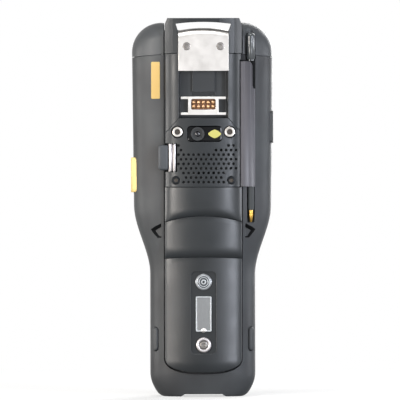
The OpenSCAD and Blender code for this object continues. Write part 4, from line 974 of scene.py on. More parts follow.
class TERMINAL_OT_stage(bpy.types.Operator):
    """Makes the floor, the lamps, the surroundings and the camera"""

    bl_idname = "terminal.stage"
    bl_label = "Stage"

    def execute(self, context):
        scene = context.scene
        scene.view_settings.view_transform = "Standard"
        self.make_surroundings(scene)
        self.make_floor()
        # Name, place and size in metres, power in watts, colour. The tall softboxes light the flanks of the
        # spine and the battery, the low ones the face of the grip, the fills the outer walls.
        lamps = (
            ("left_softbox", (-0.84, -0.88, 0.26), (0.2, 0.8), 14.5, "#fff8f1"),
            ("left_low_softbox", (-0.25, -0.46, 0.04), (0.14, 0.08), 0.5, "#fff8f1"),
            ("right_softbox", (0.65, -1.03, 0.26), (0.12, 0.8), 11.5, "#eef3ff"),
            ("right_low_softbox", (0.25, -0.46, 0.04), (0.14, 0.08), 0.36, "#eef3ff"),
            ("left_side_fill", (-1.15, -0.1, 0.1), (0.5, 0.3), 8.0, "#fffaf5"),
            ("right_side_fill", (1.15, -0.1, 0.1), (0.5, 0.3), 6.5, "#f4f7ff"),
            ("overhead_softbox", (-0.1, -0.45, 0.95), (0.3, 0.12), 3.5, "#ffffff"),
            ("display_softbox", (0.45, 1.0, 0.45), (0.7, 0.7), 14.0, "#ffffff"),
        )
        for name, location, size, power, colour in lamps:
            self.make_lamp(name, location, size, power, colour)
        self.make_camera(scene)
        return {"FINISHED"}

    def make_lamp(self, name, location, size, power, colour):
        """A flat lamp that faces the object's middle."""
        light = bpy.data.lights.new(name, "AREA")
        light.shape = "RECTANGLE"
        light.size, light.size_y = size
        light.energy = power
        light.color = linear(colour)[:3]
        lamp = placed(name, light)
        lamp.location = location
        middle = Vector((0, 0, 0.12))
        lamp.rotation_euler = (middle - Vector(location)).to_track_quat("-Z", "Y").to_euler()

    def make_surroundings(self, scene):
        """White where the camera looks, dimmer for glossy surfaces, dimmest as plain light."""
        plain_light = 0.34
        glossy_loss = 0.4
        world = bpy.data.worlds.new("pale_room")
        scene.world = world
        world.use_nodes = True
        tree = world.node_tree
        tree.nodes.clear()
        path = add(tree, "ShaderNodeLightPath")
        dimmed = maths(tree, "MULTIPLY", path.outputs["Is Glossy Ray"], -glossy_loss)
        seen = maths(tree, "ADD", seen_directly(tree), dimmed)
        strength = remap(tree, seen, plain_light, 1.0, 0, 1)
        light = add(tree, "ShaderNodeBackground", {"Color": (1, 1, 1, 1), "Strength": strength})
        add(tree, "ShaderNodeOutputWorld", {"Surface": light.outputs[0]})

    def make_floor(self):
        """Pale paper that keeps the shadow near the object and runs out into white."""
        side = 3000
        corners = [(x * side, y * side, 0) for x, y in ((-1, -1), (1, -1), (1, 1), (-1, 1))]
        floor = mesh_object("floor", corners, [(0, 1, 2, 3)])
        material, tree, shader = finish("matt_white_paper", Roughness=0.9)
        coords = add(tree, "ShaderNodeTexCoord")
        away = add(tree, "ShaderNodeVectorMath", {0: coords.outputs["Object"]}, operation="LENGTH")
        near = remap(tree, away.outputs["Value"], 1.0, 0.0, 0.5, 1.3)
        path = add(tree, "ShaderNodeLightPath")
        dim = maths(tree, "MULTIPLY", near, maths(tree, "SUBTRACT", 1.0, path.outputs["Is Camera Ray"]))
        link(tree, shader, Base_Color=blend_colours(tree, dim, "#dededd", "#2c2c2c"))
        share = remap(tree, away.outputs["Value"], 0.45, 1.0, 0.08, 0.5)
        visible = maths(tree, "MULTIPLY", share, seen_directly(tree))
        glow = add(tree, "ShaderNodeEmission", {"Color": (1, 1, 1, 1), "Strength": 1.0})
        both = add(tree, "ShaderNodeMixShader", {0: visible, 1: shader.outputs[0], 2: glow.outputs[0]})
        link(tree, tree.nodes["Material Output"], Surface=both.outputs[0])
        floor.data.materials.append(material)

    def make_camera(self, scene):
        """A long lens, level with the object's middle and a little to its left."""
        distance = 6.0
        view_width = 0.2455
        azimuth = math.radians(-1.4)
        elevation = math.radians(0.8)
        roll = math.radians(-0.09)
        target = Vector((-0.00175, 0, 0.1204))
        camera = bpy.data.cameras.new("camera")
        camera.sensor_width = 36
        camera.lens = camera.sensor_width * distance / view_width
        viewer = placed("camera", camera)
        away = Vector((math.sin(azimuth) * math.cos(elevation), -math.cos(azimuth) * math.cos(elevation),
                       math.sin(elevation)))
        viewer.location = target + away * distance
        turn = (-away).to_track_quat("-Z", "Y") @ Matrix.Rotation(roll, 3, "Z").to_quaternion()
        viewer.rotation_euler = turn.to_euler()
        scene.camera = viewer


def seen_directly(tree):
    """1 for what the camera, a glossy surface or a clear one sees, 0 for plain light."""
    path = add(tree, "ShaderNodeLightPath")
    either = maths(tree, "MAXIMUM", path.outputs["Is Camera Ray"], path.outputs["Is Glossy Ray"])
    return maths(tree, "MAXIMUM", either, path.outputs["Is Transmission Ray"])


# ------------------------------------------------------------------ housings

def fine_heights(*bends):
    """Ring heights: close together where the outline bends, far apart where it runs straight."""
    corner = [SHOULDER_Z - CORNER_R + CORNER_R * math.cos(math.radians(a)) for a in steps(90, 0, 20)]
    base = [FOOT_R * (1 - math.cos(math.radians(a))) for a in steps(0, 90, 8)]
    base += [FOOT_R + (BASE_TAPER_L - FOOT_R) * t for t in steps(0, 1, 8)]
    waist = steps(WAIST_Z0, WAIST_Z0 + WAIST_L, 36)
    return sorted(set(round(z, 4) for z in [*base, *waist, *corner, *bends]))


def feet_gap():
    """Gap between the feet, which both housings lose."""
    wide, narrow = FEET_GAP_HALF
    outline = [(-wide, -1), (wide, -1), (narrow, FEET_GAP_H), (-narrow, FEET_GAP_H)]
    return prism("feet_gap", outline, "y", -HALF_DEPTH, HALF_DEPTH)


def above_seam(side, inner=TROUGH_HALF - 2):
    """Everything above the sloping top seam on one side."""
    outer = 2 * HEAD_HALF
    outline = [(side * inner, seam_height(inner)), (side * outer, seam_height(outer)),
               (side * outer, TOP_Z + 5), (side * inner, TOP_Z + 5)]
    return prism("above_seam", outline, "y", BEHIND, BEFORE)


def pack_outline(grow, raised=0.0):
    """Outline of the battery in x and z, grown; its lower end is a superellipse, which may sit higher."""
    half = SPINE_HALF + grow
    power = 2 / PACK_END_POWER
    outline = []
    for angle in steps(180, 360, 64):
        c = math.cos(math.radians(angle))
        s = abs(math.sin(math.radians(angle)))
        outline.append((half * math.copysign(abs(c) ** power, c),
                        BATTERY_Z0 + PACK_END_L - (PACK_END_L + grow - raised) * s ** power))
    return outline + [(half, BATTERY_Z1 + grow), (-half, BATTERY_Z1 + grow)]


def stylus_groove(radius, low, high):
    """The round groove that the stylus lies in, and its mouth."""
    return [rod("groove", STYLUS_X, STYLUS_Y, low, high, radius),
            block("groove_mouth", (STYLUS_X - radius, BEHIND, low), (STYLUS_X + radius, STYLUS_Y, high))]


def finger_pocket():
    """Pocket beside the battery: sloping outer walls, and a floor that deepens away from the battery."""
    reach = max(across for across, _ in POCKET_FLOOR)
    rings = []
    # Half the depth above the rail's surface, at the surface, at the floor
    for t in (-0.5, 0.0, 1.0):
        ring = []
        for (x0, z0), (x1, z1) in zip(POCKET_MOUTH, POCKET_FLOOR):
            x = BAY_WALL_HALF + x0 + (x1 - x0) * t
            depth = POCKET_DEPTH * (POCKET_SHALLOW + (1 - POCKET_SHALLOW) * x1 / reach)
            ring.append((x, rail_y(x, POCKET_Z) + depth * t, POCKET_Z + z0 + (z1 - z0) * t))
        rings.append(ring)
    return loft("pocket", rings)


def side_slot(node):
    """Slot in the side wall for a button; the button's flange is wider and stays behind the wall."""
    low, high = span(node)
    side = -1 if low.x < 0 else 1
    _, y, z = middle_of(node)
    outline = round_rect(y, z, SIDE_SLOT_W, high.z - low.z - SIDE_SLOT_SHORTER, SIDE_SLOT_R)
    return prism("side_slot", outline, "x", *sorted((side * GRIP_HALF, side * FAR)))


def tab_matrix(side, middle_z):
    """Turns a release tab's own frame, in which it points along -Y, onto the rail."""
    spin = Matrix.Rotation(math.radians(TAB_TURN * side), 4, "Z")
    return Matrix.Translation(Vector((side * TAB_X, rail_y(TAB_X, middle_z), middle_z)) * MM) @ spin


def tab_slot(side, grow):
    """Slot for a release tab, square to the rail."""
    low, high = span("right_tab")
    outline = round_rect(0, 0, TAB_W + 2 * grow, high.z - low.z + 2 * grow, TAB_R + grow)
    slot = prism("tab_slot", outline, "y", -4, 4)
    slot.data.transform(tab_matrix(side, (low.z + high.z) / 2))
    return slot


class TERMINAL_OT_housings(bpy.types.Operator):
    """Models the rear and front housings and the corner bumpers"""

    bl_idname = "terminal.housings"
    bl_label = "Housings"

    def execute(self, context):
        rear = finish_piece(self.rear(), "terminal", "rail", ["rear_housing"])
        # Painted shade on the sloping walls of the finger pockets
        repaint(rear, "hollow", self.in_pocket)
        finish_piece(self.front(), "terminal", "bezel", ["front_housing"])
        left = self.bumper()
        right = mirrored(self.bumper())
        head_gap = 0.06
        carve(right, *stylus_groove(STYLUS_HEAD_R + head_gap, 0, TOP_Z + 5),
              block("groove_side", (STYLUS_X - STYLUS_HEAD_R - 1.0, BEHIND, 0),
                    (STYLUS_X, STYLUS_Y + 0.5, TOP_Z + 5)))
        finish_piece(left, "terminal", "bumper", ["left_bumper"])
        right.name = "right_elastomer_corner"
        finish_piece(right, "terminal", "bumper", ["right_bumper"])
        return {"FINISHED"}

    def in_pocket(self, centre, normal):
        """Sloping walls of a finger pocket, which get painted shade."""
        half_height = 5
        reach = max(across for across, _ in POCKET_MOUTH) + 0.2
        across = abs(centre.x) - BAY_WALL_HALF
        near = abs(centre.z - POCKET_Z) < half_height and 0.1 < across < reach
        deep = rail_y(centre.x, centre.z) + 0.15 < centre.y < 0
        return near and deep and abs(normal.z) > 0.2

    def rear(self):
        """Shell with the bay of the battery, the trough of the spine and the groove of the stylus."""
        heights = [z for z in fine_heights(SEAM_Z - 6, SEAM_Z) if z <= SEAM_Z + 0.001]
        shell = loft("rear_shell", [half_ring(z, -1, PART_Y - SEAL_T / 2, 0, 72) for z in heights])
        waist = steps(WAIST_Z0, WAIST_Z0 + WAIST_L, 12)
        inside = [CAVITY_Z0, CAVITY_Z1, *waist, BATTERY_Z1 + 20, SEAM_Z + 1]
        cavity = loft("cavity", [half_ring(z, -1, PART_Y, WALL, 24) for z in inside])
        above_floor = block("above_floor", (-FAR, CAVITY_Y, 0), (FAR, HALF_DEPTH, TOP_Z))
        carve(cavity, above_floor, operation="INTERSECT")
        # What the cavity leaves solid round the silo of the stylus and round the bay of the battery
        bay_back = BAY_FLOOR_Y + BAY_FLOOR_T
        carve(cavity,
              block("silo_block", (SILO_LOW.x - 1.5, -HALF_DEPTH, TIP_Z0 - 3), (STYLUS_X + 5.4, -5, TOP_Z)),
              block("bay_block", (-BAY_WALL_HALF, -HALF_DEPTH, BATTERY_Z0 - 2.6),
                    (BAY_WALL_HALF, bay_back, BATTERY_Z1 + 1.6)))
        left_pocket = mirrored(finger_pocket())
        screw_holes = [peg("screw_hole", x, z, BAY_FLOOR_Y - 1, bay_back + 1, BOSS_HOLE_R, 24)
                       for boss in BOSSES for x, z in both_sides(boss)]
        silo_top = SILO_HIGH.z
        fit = 0.1
        return carve(
            shell, cavity, above_seam(-1), above_seam(1),
            prism("bay", pack_outline(SEAM), "y", BEHIND, BAY_FLOOR_Y),
            block("trough", (-TROUGH_HALF, BEHIND, BATTERY_Z1), (TROUGH_HALF, TROUGH_Y, TOP_Z)),
            block("silo_seat", (SILO_LOW.x - 2 * fit, BEHIND, SILO_LOW.z - 2 * fit),
                  (SILO_HIGH.x + 2 * fit, STYLUS_Y, TOP_Z)),
            *stylus_groove(STYLUS_R + SILO_GAP, TIP_Z0 - 0.3, silo_top + 0.4),
            *stylus_groove(STYLUS_HEAD_R + SILO_GAP, silo_top + 0.3, TOP_Z),
            block("silo_slit", (SILO_HIGH.x - fit, -HALF_DEPTH, silo_top - SILO_SEAM_L),
                  (SILO_HIGH.x + 0.9, STYLUS_Y, silo_top - 2)),
            finger_pocket(), left_pocket,
            side_slot("scan_button"), side_slot("side_key"),
            tab_slot(1, 0.3), tab_slot(-1, 0.3),
            block("dock_slot", (DOCK_LOW.x - fit, DOCK_LOW.y - fit, -1),
                  (DOCK_HIGH.x + fit, DOCK_HIGH.y + fit, 6)),
            *screw_holes, feet_gap())

    def front(self):
        """Shell with the openings of the display and the keypad, its top edge cut round."""
        rises = [*steps(STEP_Z, STEP_Z + STEP_L, 16), STEP_Z + STEP_L + 0.5]
        heights = fine_heights(*rises, 8.0)
        shell = loft("front_shell", [half_ring(z, 1, PART_Y + SEAL_T / 2, 0, 72) for z in heights])
        inside = [CAVITY_Z0, CAVITY_Z1, WAIST_Z0, *steps(STEP_Z, STEP_Z + STEP_L, 2), WAIST_Z0 + WAIST_L,
                  SEAM_Z - 3, NOTCH_Z - WALL]
        cavity = loft("cavity", [half_ring(z, 1, PART_Y, WALL, 24) for z in inside])
        profile = [(-1, -1), (HALF_DEPTH + 1, -1), (HALF_DEPTH + 1, NOTCH_Z - TOP_EDGE_R)]
        profile += arc((HALF_DEPTH - TOP_EDGE_R, NOTCH_Z - TOP_EDGE_R), TOP_EDGE_R, 0, 90, 12)
        profile += [(-1, NOTCH_Z)]
        carve(shell, prism("envelope", profile, "x", -FAR, FAR), operation="INTERSECT")
        opening = round_rect(0, GLASS_Z, 2 * (GLASS_HIGH.x - GLASS_LIP),
                             GLASS_HIGH.z - GLASS_LOW.z - 2 * GLASS_LIP, GLASS_OPENING_R)
        keypad_h = KEYPAD_Z[1] - KEYPAD_Z[0] + KEYPAD_FIT
        keypad = round_rect(0, sum(KEYPAD_Z) / 2, KEYPAD_W, keypad_h, KEYPAD_R)
        return carve(
            shell, cavity,
            above_seam(-1, inner=TROUGH_HALF - SEAM), above_seam(1, inner=TROUGH_HALF - SEAM),
            prism("display_opening", opening, "y", GLASS_HIGH.y - 1, BEFORE),
            prism("keypad_opening", keypad, "y", KEY_FACE - WALL - 1, BEFORE),
            feet_gap())

    def bumper(self):
        """Corner cap; a lip inside it closes the seam, and another closes the gap to the strap mount."""
        corner = self.corner("left_elastomer_corner", 0.0, END_GAP)
        lip = self.corner("lip", 1.3, -0.4)
        clear = 0.02
        seam = seam_height(TROUGH_HALF) + clear
        inner = -SPINE_HALF + clear
        side_lip = block("side_lip", (-BAY_WALL_HALF, -4.4, seam), (inner, 4, SHOULDER_Z - 1.6))
        top_lip = block("top_lip", (-BAY_WALL_HALF, 1.5, seam), (inner, 9, SHOULDER_Z - 0.15))
        return carve(corner, lip, side_lip, top_lip, operation="UNION")

    def corner(self, name, inset, gap):
        """Everything of the housing's round body above the seam and beside the spine."""
        heights = [z for z in fine_heights(SEAM_Z - 9) if SEAM_Z - 10 < z < SHOULDER_Z - inset]
        body = loft(name, [full_ring(z, inset, 48) for z in heights])
        side = block("side", (-FAR, BEHIND, 0), (-TROUGH_HALF - inset, BEFORE, TOP_Z))
        carve(body, side, operation="INTERSECT")
        outer = 2 * HEAD_HALF
        inner = TROUGH_HALF - 2
        below = [(-outer, 0), (-inner, 0), (-inner, seam_height(inner) + gap),
                 (-outer, seam_height(outer) + gap)]
        return carve(body, prism("below_seam", below, "y", -HALF_DEPTH - 2, BEFORE))


# ------------------------------------------------------------------ spine

def spine_outline(inset=0.0, half=SPINE_HALF):
    """Cross-section of the crowned spine in x and y."""
    crown = [(x, spine_y(x) + inset) for x in steps(-half, half, 96)]
    return crown + [(half, TROUGH_Y), (-half, TROUGH_Y)]


def cover_outline(lower=0.0, shift=0.0):
    """Outline of the camera cover in x and z, with its two cut corners."""
    z0 = COVER_Z0 - (1 if shift else 0)
    z1 = COVER_Z1 - lower + shift
    x = SPINE_HALF - COVER_CUT.x
    low = COVER_Z1 - COVER_CUT.y - lower + shift
    return [(-SPINE_HALF, z0), (SPINE_HALF, z0), (SPINE_HALF, low), (x, z1), (-x, z1), (-SPINE_HALF, low)]


def silo_lap():
    """Strip that the silo cover takes from the spine's flank."""
    return block("silo_lap", (SILO_LOW.x - SEAM, BEHIND, BATTERY_Z1 - 1),
                 (SPINE_HALF + 1, TROUGH_Y + 1, SILO_HIGH.z + SEAM))


def grille_places():
    """Centres of the grille's holes, as (x, z) lists: those that go through, and the dimples."""
    pitch = sizes().grille_pitch / MM
    through = []
    dimples = []
    for row in range(GRILLE_ROWS):
        z = GRILLE_Z0 + row * pitch * GRILLE_ROW_SHARE
        for i in range(GRILLE_COLUMNS):
            x = GRILLE_X0 + (i + (row % 2) / 2) * pitch
            # The lowest rows leave room for the screws, the highest ones for the window
            beside_screw = abs(abs(x) - LOWER_SCREW.x) < 4 and row < 3
            under_window = row > 6 and -13 < x - WINDOW.x < (13 if row > 7 else 6)
            if x < GRILLE_X1 and not beside_screw and not under_window:
                first, last = GRILLE_OPEN.get(row, (1, 0))
                (through if first <= i <= last else dimples).append((x, z))
    return through, dimples


class TERMINAL_OT_spine(bpy.types.Operator):
    """Models the camera cover with its grille and the cover around the accessory well"""

    bl_idname = "terminal.spine"
    bl_label = "Spine"

    def execute(self, context):
        cover = finish_piece(self.camera_cover(), "terminal", "spine",
                             ["camera_cover"], 30)
        # Painted shade on every face that lies deeper than the crown: grille holes, dimples, counterbores
        # and seats
        repaint(cover, "hollow", lambda c, _: c.y > spine_y(c.x) + 0.25 and abs(c.x) < 21)
        well = finish_piece(self.well_cover(), "terminal", "spine",
                            ["spine_cover"], 30)
        repaint(well, "black_abs", self.in_well)
        return {"FINISHED"}

    def in_well(self, centre, _):
        """Walls and floor of the accessory well."""
        deep = centre.y > spine_y(centre.x) + 0.6
        return deep and abs(centre.x) < WELL_HALF + 2 and centre.z < WELL_Z1 + 0.2

    def camera_cover(self):
        """Hollow crowned cover with seats for the screws, window, lens and latch, and with the grille."""
        cover = prism("camera_cover_shell", spine_outline(), "z", COVER_Z0, COVER_Z1)
        carve(cover, prism("outline", cover_outline(), "y", BEHIND, TROUGH_Y + 1), operation="INTERSECT")
        inside = TROUGH_Y + 2
        inner = [(x, y + 1 if y >= TROUGH_Y else y) for x, y in spine_outline(COVER_WALL, SPINE_HALF - 4.8)]
        hollow = prism("hollow", inner, "z", COVER_Z0 + COVER_WALL, COVER_Z1)
        carve(hollow, prism("outline", cover_outline(3), "y", -HALF_DEPTH, inside), operation="INTERSECT")
        carve(hollow, block("latch_seat", (-SPINE_HALF, -HALF_DEPTH, LATCH_Z0 - 2.5),
                            (LATCH_PIN.x + 4, inside, LATCH_Z1 + 2.5)),
              *[peg("boss", x, z, BEHIND, inside, boss_r)
                for place, _, boss_r in COVER_SCREWS for x, z in both_sides(place)])
        notch = block("latch_notch", (-SPINE_HALF - 1, BEHIND, LATCH_Z0 - END_GAP),
                      (LATCH_PIN.x + 1.8, LATCH_NOTCH_Y, LATCH_Z1 + END_GAP))
        bore = rod("pin_bore", LATCH_PIN.x, LATCH_PIN.y, LATCH_Z0 - 2, LATCH_Z1 + 2, LATCH_PIN_R + 0.06, 24)
        window_seat = round_rect(WINDOW.x, LENS.y, *WINDOW_SEAT, WINDOW_R + 0.05)
        window = prism("window_seat", window_seat, "y", BEHIND, WINDOW_HIGH.y)
        lens_hole = peg("lens_hole", LENS.x, LENS.y, -HALF_DEPTH, TROUGH_Y + 1, LENS_HOLE_R)
        screw_seats = []
        for side in (-1, 1):
            for place, seat_r, _ in COVER_SCREWS:
                x, z = side * place.x, place.y
                screw_seats.append(peg("counterbore", x, z, BEHIND, SCREW_SEAT_Y, seat_r))
                screw_seats.append(peg("shank_hole", x, z, SCREW_SEAT_Y - 1, TROUGH_Y + 1, SHANK_HOLE_R, 24))
        carve(cover, hollow, silo_lap(), notch, bore, window, lens_hole, *screw_seats)
        through, dimples = grille_places()
        tree = perforation_tree()
        # The grille's cutters carry the painted-shade finish
        hole = {"Radius": sizes().grille_hole, "Sides": 20, "Finish": FINISHES["hollow"]}
        # Name, places, how far the cutter's middle lies below the surface, its length
        kinds = (("holes", through, 1, 4), ("dimples", dimples, -0.15, 1.7))
        return carve(cover, *[
            repeated(name, tree, [(x, spine_y(x) + sunk, z) for x, z in places], Depth=length * MM, **hole)
            for name, places, sunk, length in kinds])

    def well_cover(self):
        """Crowned cover round the accessory well, with a tongue on the well's floor."""
        cover = prism("well_cover_shell", spine_outline(), "z", COVER_Z1 - COVER_CUT.y, SEAM_Z)
        section = [(-WELL_HALF, WELL_FLOOR_Y), (WELL_HALF, WELL_FLOOR_Y), (WELL_MOUTH_HALF, BEHIND),
                   (-WELL_MOUTH_HALF, BEHIND)]
        well = prism("well", section, "z", COVER_Z1 - 1, WELL_Z1)
        x = SPINE_HALF - COVER_CUT.x
        carve(cover, well,
              prism("cover_below", cover_outline(0, END_GAP), "y", BEHIND, TROUGH_Y + 1),
              block("well_mouth", (-x, BEHIND, COVER_Z0), (x, TROUGH_Y + 1, WELL_Z0)),
              silo_lap(),
              block("bracket_seat", (-BRACKET_HALF, BEHIND, BRACKET_LOW.z - 0.1),
                    (BRACKET_HALF, BRACKET_LOW.y + 1.3, TOP_Z)))
        tongue_z = WELL_Z1 - TONGUE_L
        tongue = block("tongue", (-TONGUE_HALF, WELL_FLOOR_Y - 2, tongue_z),
                       (TONGUE_HALF, WELL_FLOOR_Y + 0.5, WELL_Z1 + 0.5))
        carve(cover, tongue, operation="UNION")
        return carve(cover, block("tongue_slot", (-TONGUE_HALF - 0.5, WELL_FLOOR_Y - 1, tongue_z - 2),
                                  (TONGUE_HALF + 0.5, WELL_FLOOR_Y + 1.2, tongue_z - 0.5)))


# ------------------------------------------------------------------ battery

def ledge_drop(i, z):
    """Drop of the pack's crown at a ledge: round above, steep at its lip, a shallow valley below."""
    drop = LEDGE_CREST[i] - LEDGE_CREST[i + 1]
    share = (z - LEDGE_Z[i]) / LEDGE_L[i]
    if share > 0:
        return (drop + LEDGE_VALLEY) * (1 - math.sqrt(1 - max(1 - share, 0.0) ** 2))
    below = min((LEDGE_Z[i] - z) / LEDGE_VALLEY_L, 1.0)
    return drop + LEDGE_VALLEY * (1 - below) ** 2


def sag_at(z):
    """How much lower the pack's rings lie at their edges than in the middle, at height z."""
    places = [(BATTERY_Z0 + 8, 0.0)]
    for i in (1, 0):
        places += [(LEDGE_Z[i] - LEDGE_VALLEY_L, LEDGE_SAG[i]), (LEDGE_Z[i] + LEDGE_L[i], LEDGE_SAG[i])]
    places += [(BATTERY_Z1 - 4, 1.0), (BATTERY_Z1, 0.0)]
    for (z0, a), (z1, b) in zip(places, places[1:]):
        if z0 <= z <= z1:
            return a + (b - a) * (z - z0) / (z1 - z0)
    return 0.0


def pack_crest(z):
    """Depth of the pack's middle at height z."""
    return HALF_DEPTH - 0.4 - ledge_drop(0, z) - ledge_drop(1, z) - 1.2 * lift(z - BATTERY_Z0, 8)


def pack_y(u, crest):
    """y of the pack's surface at a share u of its half width; a low crest has a round crown."""
    edge = min(crest - PACK_CROWN, PACK_FLANK)
    power = 2.0 + 0.5 * smooth((crest - LEDGE_CREST[2]) / (LEDGE_CREST[0] - LEDGE_CREST[2]))
    return -edge - (crest - edge) * max(1 - abs(u) ** power, 0.0) ** 0.75


def pack_ring(z, count=96):
    """Ring of the crowned pack at height z."""
    crest = pack_crest(z)
    sag = sag_at(z)
    ring = []
    for angle in steps(0, math.pi, count):
        u = -math.cos(angle)
        ring.append((SPINE_HALF * u, pack_y(u, crest), z - sag * u * u))
    return ring + [(SPINE_HALF, -PACK_BACK, z - sag), (-SPINE_HALF, -PACK_BACK, z - sag)]


class TERMINAL_OT_battery(bpy.types.Operator):
    """Models the battery case with its two ledges, and the metal parts in its panel"""

    bl_idname = "terminal.battery"
    bl_label = "Battery"

    def execute(self, context):
        case = finish_piece(self.case(), "battery", "pack", ["battery_case"], 40)
        repaint(case, "panel_floor", self.in_panel)
        stud = finish_piece(self.stud(), "battery", "turned", ["battery_stud"], 20)
        repaint(stud, "groove", lambda c, _: self.stud_band(c, ((0, 0.75), (1.6, 2.5), (3.0, 3.6))))
        repaint(stud, "rim", lambda c, _: self.stud_band(c, ((0.75, 1.6), (2.5, 3.0), (3.6, 4.1))))
        plate = finish_piece(self.plate(), "battery", "rim", ["battery_plate"])
        sunk = span("battery_plate")[0].y + 0.1
        repaint(plate, "plate", lambda c, _: sunk < c.y < sunk + 0.5 and abs(c.x) < 4.2)
        finish_piece(self.catch(), "battery", "frame_metal")
        finish_piece(self.cells(), "battery", "foil", ["battery_cells"])
        finish_piece(self.eyelet(), "battery", "eyelet", ["battery_eyelet"], 50)
        return {"FINISHED"}

    def in_panel(self, centre, _):
        """Floor and lower walls of the sunk panel."""
        slack = 0.05
        inside = abs(centre.x) < PANEL_HALF + slack and PANEL_Z[0] - slack < centre.z < PANEL_Z[1] + slack
        return inside and PANEL_Y - 0.48 < centre.y < PANEL_Y + 0.1

    def cells(self):
        """Two wrapped cells side by side, their outer edges round."""
        low, high = span("battery_cells")
        round_r = 5.0
        half_gap = 0.2
        sides = []
        for side in (1, -1):
            edge = arc((high.x - round_r, low.y + round_r), round_r, 0, -90, 10)
            outline = [(half_gap, high.y), (high.x, high.y), *edge, (half_gap, low.y)]
            sides.append(prism("wrapped_cells", [(side * x, y) for x, y in outline], "z", low.z, high.z))
        return carve(sides[0], sides[1], operation="UNION")

    def stud_band(self, centre, bands):
        """True between the radii of one of the stud's bands."""
        radius = math.hypot(centre.x, centre.z - STUD_Z)
        return any(low < radius < high for low, high in bands)

    def case(self):
        """Crowned shell with two ledges, the room of the cells and the sunk panel."""
        heights = steps(BATTERY_Z0 - 1, BATTERY_Z0 + 8, 10) + steps(BATTERY_Z0 + 9, BATTERY_Z1, 60)
        for i in (0, 1):
            heights += [LEDGE_Z[i] + LEDGE_L[i] * (1 - math.sin(math.radians(a))) for a in steps(90, 0, 24)]
            heights += steps(LEDGE_Z[i] - LEDGE_VALLEY_L, LEDGE_Z[i] - 0.06, 12)
        heights = sorted(set(round(z, 2) for z in heights))
        case = loft("battery_shell", [pack_ring(z) for z in heights])
        outline = prism("outline", pack_outline(0, PACK_END_RAISED), "y", BEHIND, 0)
        carve(case, outline, operation="INTERSECT")
        inner = SPINE_HALF - PACK_WALL
        middle = (PANEL_Z[0] + PANEL_Z[1]) / 2
        panel = round_rect(0, middle, 2 * PANEL_HALF, PANEL_Z[1] - PANEL_Z[0], PANEL_R)
        crest = pack_crest(middle)
        roof = [(x, max(pack_y(x / SPINE_HALF, crest), PANEL_Y) + PACK_WALL)
                for x in steps(-inner, inner, 40)]
        space = [*roof, (inner, 0), (-inner, 0)]
        under = PANEL_Y + PACK_WALL + 1
        return carve(
            case,
            prism("cell_space", space, "z", BATTERY_Z0 + PACK_END_L, BATTERY_Z1 - 2),
            prism("panel", panel, "y", BEHIND, PANEL_Y),
            peg("stud_hole", 0, STUD_Z, PANEL_Y - 1, under, 2.05, 24),
            peg("eyelet_hole", 0, EYELET_Z, PANEL_Y - 1, under, 1.25, 24))

    def stud(self):
        """Stud turned with grooves between its rims; each pair is a radius and a height over the panel."""
        rings = [(0.5, 0.3), (0.62, 1.3), (0.8, 1.5), (1.55, 1.5), (1.75, 1.2), (1.95, 0.85), (2.35, 0.85),
                 (2.55, 1.15), (2.95, 1.15), (3.15, 0.75), (3.45, 0.75), (3.65, 0.95), (4.05, 0.95),
                 (4.25, 0.6), (4.6, 0.6), (5.0, 0.25), (5.0, 0.0), (2.0, 0.0), (2.0, -PACK_WALL)]
        profile = [(radius, PANEL_Y - rise) for radius, rise in rings]
        return turned("turned_stud", profile, "y", (0, STUD_Z), 72)

    def plate(self):
        """Inlaid plate with a raised rim."""
        rim = 0.7
        low, high = span("battery_plate")
        width = high.x - low.x
        height = high.z - low.z
        middle = (low.z + high.z) / 2
        plate = prism("inlaid_plate", round_rect(0, middle, width, height, 0.6), "y", low.y, high.y)
        inner = round_rect(0, middle, width - 2 * rim, height - 2 * rim, 0.4)
        return carve(plate, prism("inner", inner, "y", low.y - 1, low.y + 0.3))

    def catch(self):
        """Small domed catch at the lower end of the plate, wider than it is high."""
        low, _ = span("battery_plate")
        profile = [(0.05, low.y - 0.35), (1.0, low.y - 0.25), (1.75, low.y + 0.05), (1.95, low.y + 0.5)]
        catch = turned("plate_catch", profile, "y", (0, 0), 40)
        place = Matrix.Translation(Vector((0, 0, low.z + 0.75)) * MM)
        catch.data.transform(place @ Matrix.Diagonal((0.95, 1, 0.68, 1)))
        return catch

    def eyelet(self):
        """Rolled rim of round wire on a straight wall."""
        low, high = span("battery_eyelet")
        outer = (high.x - low.x) / 2
        wire = 1.05
        ring = [(outer - wire + wire * math.cos(a), high.y - (high.y - low.y - wire) - wire * math.sin(a))
                for a in steps(0, math.pi, 14)]
        ring = [(outer, high.y), *ring, (outer - 2 * wire, high.y)]
        rings = [[(r * math.cos(t), y, EYELET_Z + r * math.sin(t)) for r, y in ring]
                 for t in (2 * math.pi * i / 64 for i in range(64))]
        return closed_loop("rolled_eyelet", rings)


# ------------------------------------------------------------------ contacts

